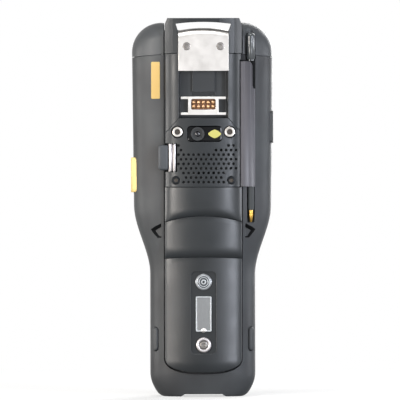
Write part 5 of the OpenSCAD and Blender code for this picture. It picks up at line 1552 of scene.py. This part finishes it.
class TERMINAL_OT_contacts(bpy.types.Operator):
    """Sets the spring contacts of the accessory connector and the charging pads of the bottom end"""

    bl_idname = "terminal.contacts"
    bl_label = "Contacts"

    def execute(self, context):
        low, high = span("connector_pins")
        middle = middle_of("connector_pins")[2]
        radius = 1.2
        shank_r = 0.82
        shoulder = low.y + radius
        turns = steps(0.12, math.pi / 2, 6)
        dome = [(radius * math.sin(a), shoulder - radius * math.cos(a)) for a in turns]
        shank = [(radius, shoulder + 0.35), (shank_r, shoulder + 0.4), (shank_r, high.y)]
        pin = turned("pin", dome + shank, count=20)
        half = (high.z - low.z) / 2 - radius
        pins = repeated("spring_contacts", row_tree(), [(0, 0, middle - half), (0, 0, middle + half)],
                        Template=pin, Count=5, Pitch=sizes().contact_pitch, Finish=FINISHES["gold"])
        finish_piece(pins, "terminal", "gold", ["connector_pins"], 50)
        body = block("dock_block", (DOCK_LOW.x, DOCK_LOW.y, DOCK_LOW.z + 0.3), tuple(DOCK_HIGH))
        finish_piece(round_edges(body, 0.4), "terminal", "black_abs", ["dock_connector"])
        pad_x, pad_y, pad_h, pad_pitch = 0.7, 1.6, 0.8, 2.4
        pad = block("pad", (-pad_x, -pad_y, DOCK_LOW.z), (pad_x, pad_y, DOCK_LOW.z + pad_h))
        round_edges(pad, 0.15)
        pads = repeated("charging_pads", row_tree(), [(0, 0, 0)], Template=pad, Count=sizes().charging_pads,
                        Pitch=pad_pitch * MM, Finish=FINISHES["gold"])
        finish_piece(pads, "terminal", "gold")
        return {"FINISHED"}


# ------------------------------------------------------------------ fasteners

class TERMINAL_OT_fasteners(bpy.types.Operator):
    """Sets the cap screws, the flat screws and the screw in the eyelet"""

    bl_idname = "terminal.fasteners"
    bl_label = "Fasteners"

    def execute(self, context):
        tree = copies_tree()
        flat_y = span("bracket_screws")[0].y + BRACKET_T
        upper = [(x, SCREW_SEAT_Y, z) for x, z in both_sides(UPPER_SCREW)]
        lower = [(x, SCREW_SEAT_Y, z) for x, z in both_sides(LOWER_SCREW)]
        flat = [(x, flat_y, z) for x, z in both_sides((BRACKET_SCREW_X, BRACKET_SCREW_Z))]
        middle = [(0, PANEL_Y, EYELET_Z)]
        # Body, node, places, finish, slot, then radius and height of the head, radius and length of the
        # shank, and radius and depth of the socket
        kinds = (
            ("terminal", "upper_cover_screws", upper, "cap_screw", "stainless",
             (3.1, 2.6, 1.2, 6.7, 1.75, 1.6)),
            ("terminal", "lower_cover_screws", lower, "dark_screw", "dark_screw",
             (2.5, 1.3, 1.2, 6.7, 1.2, 1.0)),
            ("terminal", "bracket_screws", flat, "flat_screw", "screw_steel",
             (2.4, 1.2, 1.25, 7.8, 1.1, 0.35)),
            ("battery", "eyelet_screw", middle, "flat_screw", "screw_steel",
             (2.5, 0.7, 1.2, 1.3, 1.0, 0.5)),
        )
        for body, node, places, key, slot, shape in kinds:
            screws = repeated(f"{node}_turned", tree, places, Template=self.screw(*shape), Scale=1.0,
                              Finish=FINISHES[key])
            finish_piece(screws, body, key, [node], 28)
            _, head_h, _, _, socket_r, depth = shape
            top = places[0][1] - head_h
            # Painted shade: the faces down in a cap or dark screw's socket take the darker socket steel
            socket_shade = "socket" if key in ("cap_screw", "dark_screw") else "flat_screw"
            repaint(screws, socket_shade, lambda c, _: top + 0.12 < c.y < top + depth + 0.1 and any(
                math.hypot(c.x - x, c.z - z) < socket_r + 0.2 for x, _, z in places))
        return {"FINISHED"}

    def screw(self, head_r, head_h, shank_r, length, socket_r, depth):
        """A screw at the origin, its head towards -Y and its seat at y = 0."""
        profile = [(0.05, -head_h), (head_r - 0.45, -head_h), (head_r - 0.12, -head_h + 0.12),
                   (head_r, -head_h + 0.42), (head_r, 0), (shank_r, 0), (shank_r, length), (0.05, length)]
        body = turned("screw", profile, count=40)
        hexagon = [(socket_r * math.cos(math.radians(a)), socket_r * math.sin(math.radians(a)))
                   for a in range(0, 360, 60)]
        rim = turned("rim", [(0.05, -head_h - 0.2), (socket_r + 0.22, -head_h - 0.2),
                             (socket_r + 0.02, -head_h + 0.12), (0.05, -head_h + 0.13)], count=40)
        return carve(body, prism("socket", hexagon, "y", -head_h - 1, -head_h + depth), rim)


# ------------------------------------------------------------------ latch

class TERMINAL_OT_latch(bpy.types.Operator):
    """Models the bent steel lever of the side latch and its grip pad"""

    bl_idname = "terminal.latch"
    bl_label = "Side latch"

    def execute(self, context):
        finish_piece(self.lever(), "latch", "latch", ["latch_plate"], 40)
        finish_piece(self.pad(), "latch", "pad", ["latch_pad"], 60)
        return {"FINISHED"}

    def lever(self):
        """Sheet bent from the pad's edge over to the pin, where it rolls round it."""
        low, high = span("latch_plate")
        thick = 0.72
        pin_r = LATCH_PIN_R + 0.08
        bend_r = 1.0
        roll = arc((LATCH_PIN.x, LATCH_PIN.y), pin_r + thick / 2, 95, -170, 20)
        crest = low.y + thick / 2
        bend = arc((low.x + thick / 2 + bend_r, crest + bend_r), bend_r, 270, 180, 8)
        path = [(low.x + thick / 2, high.y - 2.9), *bend[::-1], (LATCH_PIN.x - 1.9, crest + 0.25),
                *roll[::-1]]
        sheet = prism("bent_lever", ribbon(path, thick), "z", low.z, high.z)
        return round_edges(sheet, 0.16, 2, 60)

    def pad(self):
        """Soft pad over the lever's outer end, round on its outer corners."""
        low, high = span("latch_pad")
        corner = 2.0
        outline = [(high.x, low.z), (high.x, high.z)]
        outline += arc((low.x + corner, high.z - corner), corner, 90, 180, 8)
        outline += arc((low.x + corner, low.z + corner), corner, 180, 270, 8)
        pad = prism("grip_pad", outline, "y", low.y, high.y)
        return round_edges(pad, 1.1, 4, 50)


def ribbon(path, thick):
    """Closed outline of a sheet of even thickness along a path of two coordinates."""
    left = []
    right = []
    for i, point in enumerate(path):
        before = Vector(path[max(i - 1, 0)])
        after = Vector(path[min(i + 1, len(path) - 1)])
        along = (after - before).normalized()
        across = Vector((-along.y, along.x)) * thick / 2
        left.append(tuple(Vector(point) + across))
        right.append(tuple(Vector(point) - across))
    return left + right[::-1]


def closed_loop(name, rings):
    """Ring-shaped solid: every cross-section joins the next, and the last joins the first."""
    count = len(rings[0])
    total = len(rings)
    faces = []
    for k in range(total):
        for i in range(count):
            j = (i + 1) % count
            n = (k + 1) % total
            faces.append((k * count + i, k * count + j, n * count + j, n * count + i))
    return mesh_object(name, [p for ring in rings for p in ring], faces)


# ------------------------------------------------------------------ stylus

class TERMINAL_OT_stylus(bpy.types.Operator):
    """Turns the stylus with its round head, and finishes its tip and its silo"""

    bl_idname = "terminal.stylus"
    bl_label = "Stylus"

    def execute(self, context):
        shoulder = SILO_HIGH.z + 0.6
        crown = STYLUS_Z1 - STYLUS_HEAD_R
        neck_r = STYLUS_R - 0.25
        profile = [(0.05, STYLUS_Z0), (1.75, STYLUS_Z0), (STYLUS_R, STYLUS_Z0 + 0.8)]
        profile += [(radius, shoulder - below) for radius, below in (
            (STYLUS_R, 4.6), (neck_r, 4.3), (neck_r, 3.7), (STYLUS_R, 3.4), (STYLUS_R, 0),
            (STYLUS_HEAD_R - 0.2, 0), (STYLUS_HEAD_R, -0.3))]
        profile.append((STYLUS_HEAD_R, crown))
        profile += [(STYLUS_HEAD_R * math.cos(a), crown + STYLUS_HEAD_R * math.sin(a))
                    for a in steps(0.15, math.pi / 2 - 0.02, 10)]
        barrel = turned("stylus_turned", profile, "z", (STYLUS_X, STYLUS_Y))
        finish_piece(barrel, "stylus", "stylus", ["stylus_barrel"], 35)
        tip_r = 1.4
        tip = [(0.05, TIP_Z0), (0.5, TIP_Z0), (0.72, TIP_Z0 + 0.25)]
        tip += [(radius, TIP_Z1 - below) for radius, below in (
            (tip_r, 3.2), (tip_r, 2.2), (tip_r - 0.15, 2.0), (tip_r, 1.8), (tip_r, 0), (0.05, 0))]
        finish_piece(turned("stylus_point", tip, "z", (STYLUS_X, STYLUS_Y), 32), "stylus", "tip",
                     ["stylus_tip"], 35)
        silo = eased("silo_cover", "silo", 30, self.silo())
        # Painted shade on the floor and walls of the silo's seam
        repaint(silo, "hollow", self.in_seam)
        return {"FINISHED"}

    def silo(self):
        """Silo cover with a wide shadow seam along its top and down its outer edge, floored by a sheet that
        carries painted shade.
        """
        cut = block("seam", (SILO_LOW.x - 1, BEHIND, SILO_HIGH.z - SILO_SEAM_L),
                    (SILO_HIGH.x + 1, SILO_SEAM_Y, SILO_HIGH.z + 1))
        left = SILO_LOW.x - 2
        x = SILO_HIGH.x - SILO_SEAM
        z = SILO_HIGH.z - 0.6
        corner = arc((x - SILO_SEAM_R, z - SILO_SEAM_R), SILO_SEAM_R, 0, 90, 10)
        carve(cut, prism("cover_face", [(left, 0), (x, 0), *corner, (left, z)], "y", -HALF_DEPTH - 2, 0))
        # A sheet under the seam, painted as shade, hides the stylus behind it
        lining = block("lining", (SILO_HIGH.x - 3, SILO_SEAM_Y, SILO_HIGH.z - SILO_SEAM_L - 0.2),
                       (SILO_HIGH.x - 0.02, SILO_SEAM_Y + 0.3, SILO_HIGH.z - 0.1))
        return carve(carve(welded("silo_cover"), cut), lining, operation="UNION")

    def in_seam(self, centre, normal):
        """Floor and walls of the shadow seam, which get painted shade."""
        floor = normal.y < -0.99 and abs(centre.y - SILO_SEAM_Y) < 0.02
        wall = normal.y > -0.5 and centre.y < SILO_SEAM_Y and centre.z > SILO_HIGH.z - SILO_SEAM_L - 0.01
        return floor or wall


# ------------------------------------------------------------------ side controls

class TERMINAL_OT_side_controls(bpy.types.Operator):
    """Models the release tabs and finishes the buttons in the side walls"""

    bl_idname = "terminal.side_controls"
    bl_label = "Side controls"

    def execute(self, context):
        for name, side in (("right_tab", 1), ("left_tab", -1)):
            low, high = span(name)
            rib = prism(f"{name}_rib", round_rect(0, 0, TAB_W, high.z - low.z, TAB_R), "y", -1.1, 1.9)
            round_edges(rib, 1.0, 4, 60)
            rib.data.transform(tab_matrix(side, (low.z + high.z) / 2))
            finish_piece(rib, f"{name}_body", "rail", [name], 60)
        eased("scan_button", "yellow", 40)
        # The side key stands half as proud of the wall as its frame node does
        key = welded("side_key")
        wall = HEAD_HALF - 0.6
        for vertex in key.data.vertices:
            proud = vertex.co.x / MM - wall
            if proud > 0:
                vertex.co.x = (wall + proud / 2) * MM
        eased("side_key", "black_rubber", 40, key)
        return {"FINISHED"}


# ------------------------------------------------------------------ display side

class TERMINAL_OT_keypad(bpy.types.Operator):
    """Finishes the keys and prints their figures and arrows"""

    bl_idname = "terminal.keypad"
    bl_label = "Keypad"

    def execute(self, context):
        for number in range(10):
            eased(f"key_{number}", "keycap", 30)
            self.figure(number)
        eased("enter_key", "enter", 30)
        eased("power_key", "power", 30)
        eased("navigation_key", "keycap", 30)
        eased("keypad_fascia", "fascia", 30)
        self.arrows()
        return {"FINISHED"}

    def figure(self, number):
        """The figure on a key's crowned top; the frame counts a row's keys from the reader's right."""
        row, column = divmod(number - 1, 3)
        digit = 3 * row + 3 - column if number else 0
        low, high = span(f"key_{number}")
        curve = bpy.data.curves.new(f"figure_{digit}", "FONT")
        curve.body = str(digit)
        curve.size = sizes().key_figure / MM
        curve.align_x = "CENTER"
        curve.align_y = "CENTER"
        curve.extrude = 0.06
        text = placed(f"figure_{digit}", curve)
        bpy.context.view_layer.update()
        mesh = bpy.data.meshes.new_from_object(text.evaluated_get(bpy.context.evaluated_depsgraph_get()))
        bpy.data.objects.remove(text)
        middle = (low + high) / 2
        crown_r = 20.0
        piece = placed(f"printed_figure_{digit}", mesh)
        shape = bmesh.new()
        shape.from_mesh(mesh)
        bmesh.ops.remove_doubles(shape, verts=shape.verts, dist=1e-4)
        for cut in steps(-3, 3, 15):
            parts = [*shape.verts, *shape.edges, *shape.faces]
            bmesh.ops.bisect_plane(shape, geom=parts, plane_co=(0, cut, 0), plane_no=(0, 1, 0))
        for vertex in shape.verts:
            across, up, rise = vertex.co
            top = high.y - crown_r + math.sqrt(crown_r ** 2 - up ** 2)
            vertex.co = Vector((middle.x - across, top + rise, middle.z + up)) * MM
        bmesh.ops.recalc_face_normals(shape, faces=shape.faces)
        shape.to_mesh(mesh)
        shape.free()
        finish_piece(piece, f"key_{number}_body", "print")

    def arrows(self):
        """Four arrowheads printed round the direction pad."""
        face_y = span("navigation_key")[1].y
        x, _, z = middle_of("navigation_key")
        marks = []
        for turn in range(4):
            spin = Matrix.Rotation(math.pi / 2 * turn, 2)
            outline = [spin @ Vector(p) for p in ((-1.3, 6.3), (1.3, 6.3), (0, 8.2))]
            mark = [(x + p.x, z + p.y) for p in outline]
            marks.append(prism("arrow", mark, "y", face_y - 0.05, face_y + 0.05))
        pad = marks[0]
        carve(pad, *marks[1:], operation="UNION")
        pad.name = "printed_arrows"
        finish_piece(pad, "navigation_key_body", "print")


# ------------------------------------------------------------------ marks and metal

class TERMINAL_OT_marker(bpy.types.Operator):
    """Lays the plain amber strip on the left rail"""

    bl_idname = "terminal.marker"
    bl_label = "Marker strip"

    def execute(self, context):
        # Lower left and upper right corner, as x and z
        low = Vector((-31.8, 182.6))
        high = Vector((-26.5, 205.2))
        proud, sunk = 0.09, 0.4
        rings = []
        for z in steps(low.y - 1, high.y + 1, 40):
            xs = steps(low.x - 1, high.x + 1, 14)
            ring = [(x, rail_y(x, z) - proud, z) for x in xs]
            rings.append(ring + [(x, rail_y(x, z) + sunk, z) for x in reversed(xs)])
        strip = loft("marker_strip", rings)
        centre = (low + high) / 2
        outline = round_rect(centre.x, centre.y, high.x - low.x, high.y - low.y, 0.7)
        carve(strip, prism("outline", outline, "y", -HALF_DEPTH, 0), operation="INTERSECT")
        finish_piece(strip, "terminal", "amber", (), 40)
        return {"FINISHED"}


class TERMINAL_OT_frame_parts(bpy.types.Operator):
    """Finishes the parts that keep their frame shape"""

    bl_idname = "terminal.frame_parts"
    bl_label = "Frame parts"

    def execute(self, context):
        for node, key, angle in (
                ("strap_mount", "spine", 14), ("camera_module", "module", 30), ("flash_lens", "flash", 40)):
            eased(node, key, angle)
        finish_piece(self.bracket(), "terminal", "bracket", ["strap_bracket"], 40)
        finish_piece(self.connector_frame(), "terminal", "frame_metal",
                     ["connector_frame"], 40)
        finish_piece(self.window(), "terminal", "lens_window", ["camera_window"], 60)
        ring_in, ring_out = 2.3, 3.7
        section = ((ring_in, 1.2), (ring_in, 0.4), (ring_in + 0.2, 0.1), (ring_out - 0.3, 0.1),
                   (ring_out, 0.4), (ring_out, 1.2))
        ring = turned("lens_ring", [(radius, LENS_FACE_Y + sunk) for radius, sunk in section], "y", LENS, 48)
        finish_piece(ring, "terminal", "turned", (), 40)
        edge = LENS_FACE_Y + 0.9
        dome = [(LENS_R * math.cos(a), edge - 0.8 * math.sin(a)) for a in steps(0.1, 1.5, 8)]
        lens = turned("camera_lens", [(LENS_R, edge + 0.7), (LENS_R, edge), *dome], "y", LENS, 40)
        finish_piece(lens, "terminal", "lens", (), 60)
        for node, key in (
                ("connector_insulator", "insulator"), ("scan_window", "scan_filter"),
                ("scan_engine", "module"), ("speaker", "module"), ("latch_pin", "flat_screw"),
                ("housing_seal", "seal"), ("keypad_mat", "seal"), ("display_glass", "glass"),
                ("display_module", "panel"), ("display_frame", "cast"), ("main_board", "resist"),
                ("housing_screws", "flat_screw"), ("battery_terminals", "gold"),
                ("battery_base", "black_abs")):
            slots = frame["nodes"][node].data.materials
            for i in range(len(slots)):
                slots[i] = FINISHES[key]
        return {"FINISHED"}

    def bracket(self):
        """Sheet bent back over the strap mount, its top edge arched."""
        low, high = BRACKET_LOW, BRACKET_HIGH
        top = high.z
        rings = []
        for x in steps(low.x, high.x, 24):
            arch = BRACKET_ARCH * (1 - (x / high.x) ** 2) - 0.3
            centre_y = low.y + BRACKET_T + BRACKET_BEND
            centre_z = top - BRACKET_T - BRACKET_BEND
            outer = arc((centre_y, centre_z + arch), BRACKET_BEND + BRACKET_T, 180, 90, 10)
            inner = arc((centre_y, centre_z), BRACKET_BEND, 90, 180, 10)
            profile = [(low.y, low.z), *outer, (high.y, top + arch), (high.y, top - BRACKET_T), *inner,
                       (low.y + BRACKET_T, low.z)]
            rings.append([(x, y, z) for y, z in profile])
        sheet = loft("bent_bracket", rings)
        return carve(sheet, *[peg("screw_hole", x, z, low.y - 1, low.y + BRACKET_T + 1, BRACKET_HOLE_R)
                              for x, z in both_sides((BRACKET_SCREW_X, BRACKET_SCREW_Z))])

    def window(self):
        """Camera window with a sloping rim, open where the lens and the flash stand."""
        low, high = WINDOW_LOW, WINDOW_HIGH
        slope_w, slope_h = 1.1, 0.44
        rings = []
        for inset, y in ((slope_w, low.y), (0, low.y + slope_h), (0, high.y)):
            width = high.x - low.x - 2 * inset
            height = high.z - low.z - 2 * inset
            outline = round_rect(WINDOW.x, WINDOW.y, width, height, WINDOW_R - inset)
            rings.append([(x, y, z) for x, z in outline])
        window = loft("window_pane", rings)
        flash_low, flash_high = span("flash_lens")
        x, _, z = middle_of("flash_lens")
        opening = round_rect(x, z, flash_high.x - flash_low.x, flash_high.z - flash_low.z, 1.2)
        return carve(window, peg("lens_hole", LENS.x, LENS.y, low.y - 1, high.y + 1, LENS_HOLE_R),
                     prism("flash_hole", opening, "y", low.y + 0.3, high.y + 1))

    def connector_frame(self):
        """Frame round the contacts, with a flange along its top and its bottom."""
        low, high = span("connector_frame")
        middle = middle_of("connector_frame")[2]
        body_w = 18.6
        flange_h = 1.5
        opening_w, opening_h = 15.2, 6.6
        body = prism("stamped_frame", round_rect(0, middle, body_w, high.z - low.z, 1.0), "y", low.y, high.y)
        flanges = [prism("flange", round_rect(0, z, high.x - low.x, flange_h, 0.4), "y", low.y + 0.6, high.y)
                   for z in (low.z + flange_h / 2, high.z - flange_h / 2)]
        carve(body, *flanges, operation="UNION")
        opening = round_rect(0, middle + 0.9, opening_w, opening_h, 1.2)
        return carve(body, prism("opening", opening, "y", low.y - 1, high.y + 1))


# ------------------------------------------------------------------ sidebar

class TERMINAL_PT_sidebar(bpy.types.Panel):
    """Lists the settings and the steps in the order they run"""

    bl_idname = "TERMINAL_PT_sidebar"
    bl_label = "Data Terminal"
    bl_space_type = "VIEW_3D"
    bl_region_type = "UI"
    bl_category = "Terminal"

    def draw(self, context):
        for settings in (context.scene.terminal_sizes, context.scene.terminal_colours):
            for name in settings.__annotations__:
                self.layout.prop(settings, name)
        for step in STEPS:
            self.layout.operator(step.bl_idname)


STEPS = (
    TERMINAL_OT_stage, TERMINAL_OT_housings, TERMINAL_OT_spine, TERMINAL_OT_battery, TERMINAL_OT_contacts,
    TERMINAL_OT_fasteners, TERMINAL_OT_latch, TERMINAL_OT_stylus, TERMINAL_OT_side_controls,
    TERMINAL_OT_keypad, TERMINAL_OT_marker, TERMINAL_OT_frame_parts)
CLASSES = (TerminalSizes, TerminalColours, *STEPS, TERMINAL_PT_sidebar)


def register():
    """Registers the settings, the steps and the panel."""
    for item in CLASSES:
        bpy.utils.register_class(item)
    bpy.types.Scene.terminal_sizes = PointerProperty(type=TerminalSizes)
    bpy.types.Scene.terminal_colours = PointerProperty(type=TerminalColours)


def unregister():
    """Takes the panel, the steps and the settings out again."""
    del bpy.types.Scene.terminal_colours
    del bpy.types.Scene.terminal_sizes
    for item in reversed(CLASSES):
        bpy.utils.unregister_class(item)


def main():
    """Runs every step in order."""
    register()
    FINISHES.update(make_finishes(bpy.context.scene.terminal_colours))
    bpy.ops.terminal.stage()
    bpy.ops.terminal.housings()
    bpy.ops.terminal.spine()
    bpy.ops.terminal.battery()
    bpy.ops.terminal.contacts()
    bpy.ops.terminal.fasteners()
    bpy.ops.terminal.latch()
    bpy.ops.terminal.stylus()
    bpy.ops.terminal.side_controls()
    bpy.ops.terminal.keypad()
    bpy.ops.terminal.marker()
    bpy.ops.terminal.frame_parts()


if __name__ == "__main__":
    main()
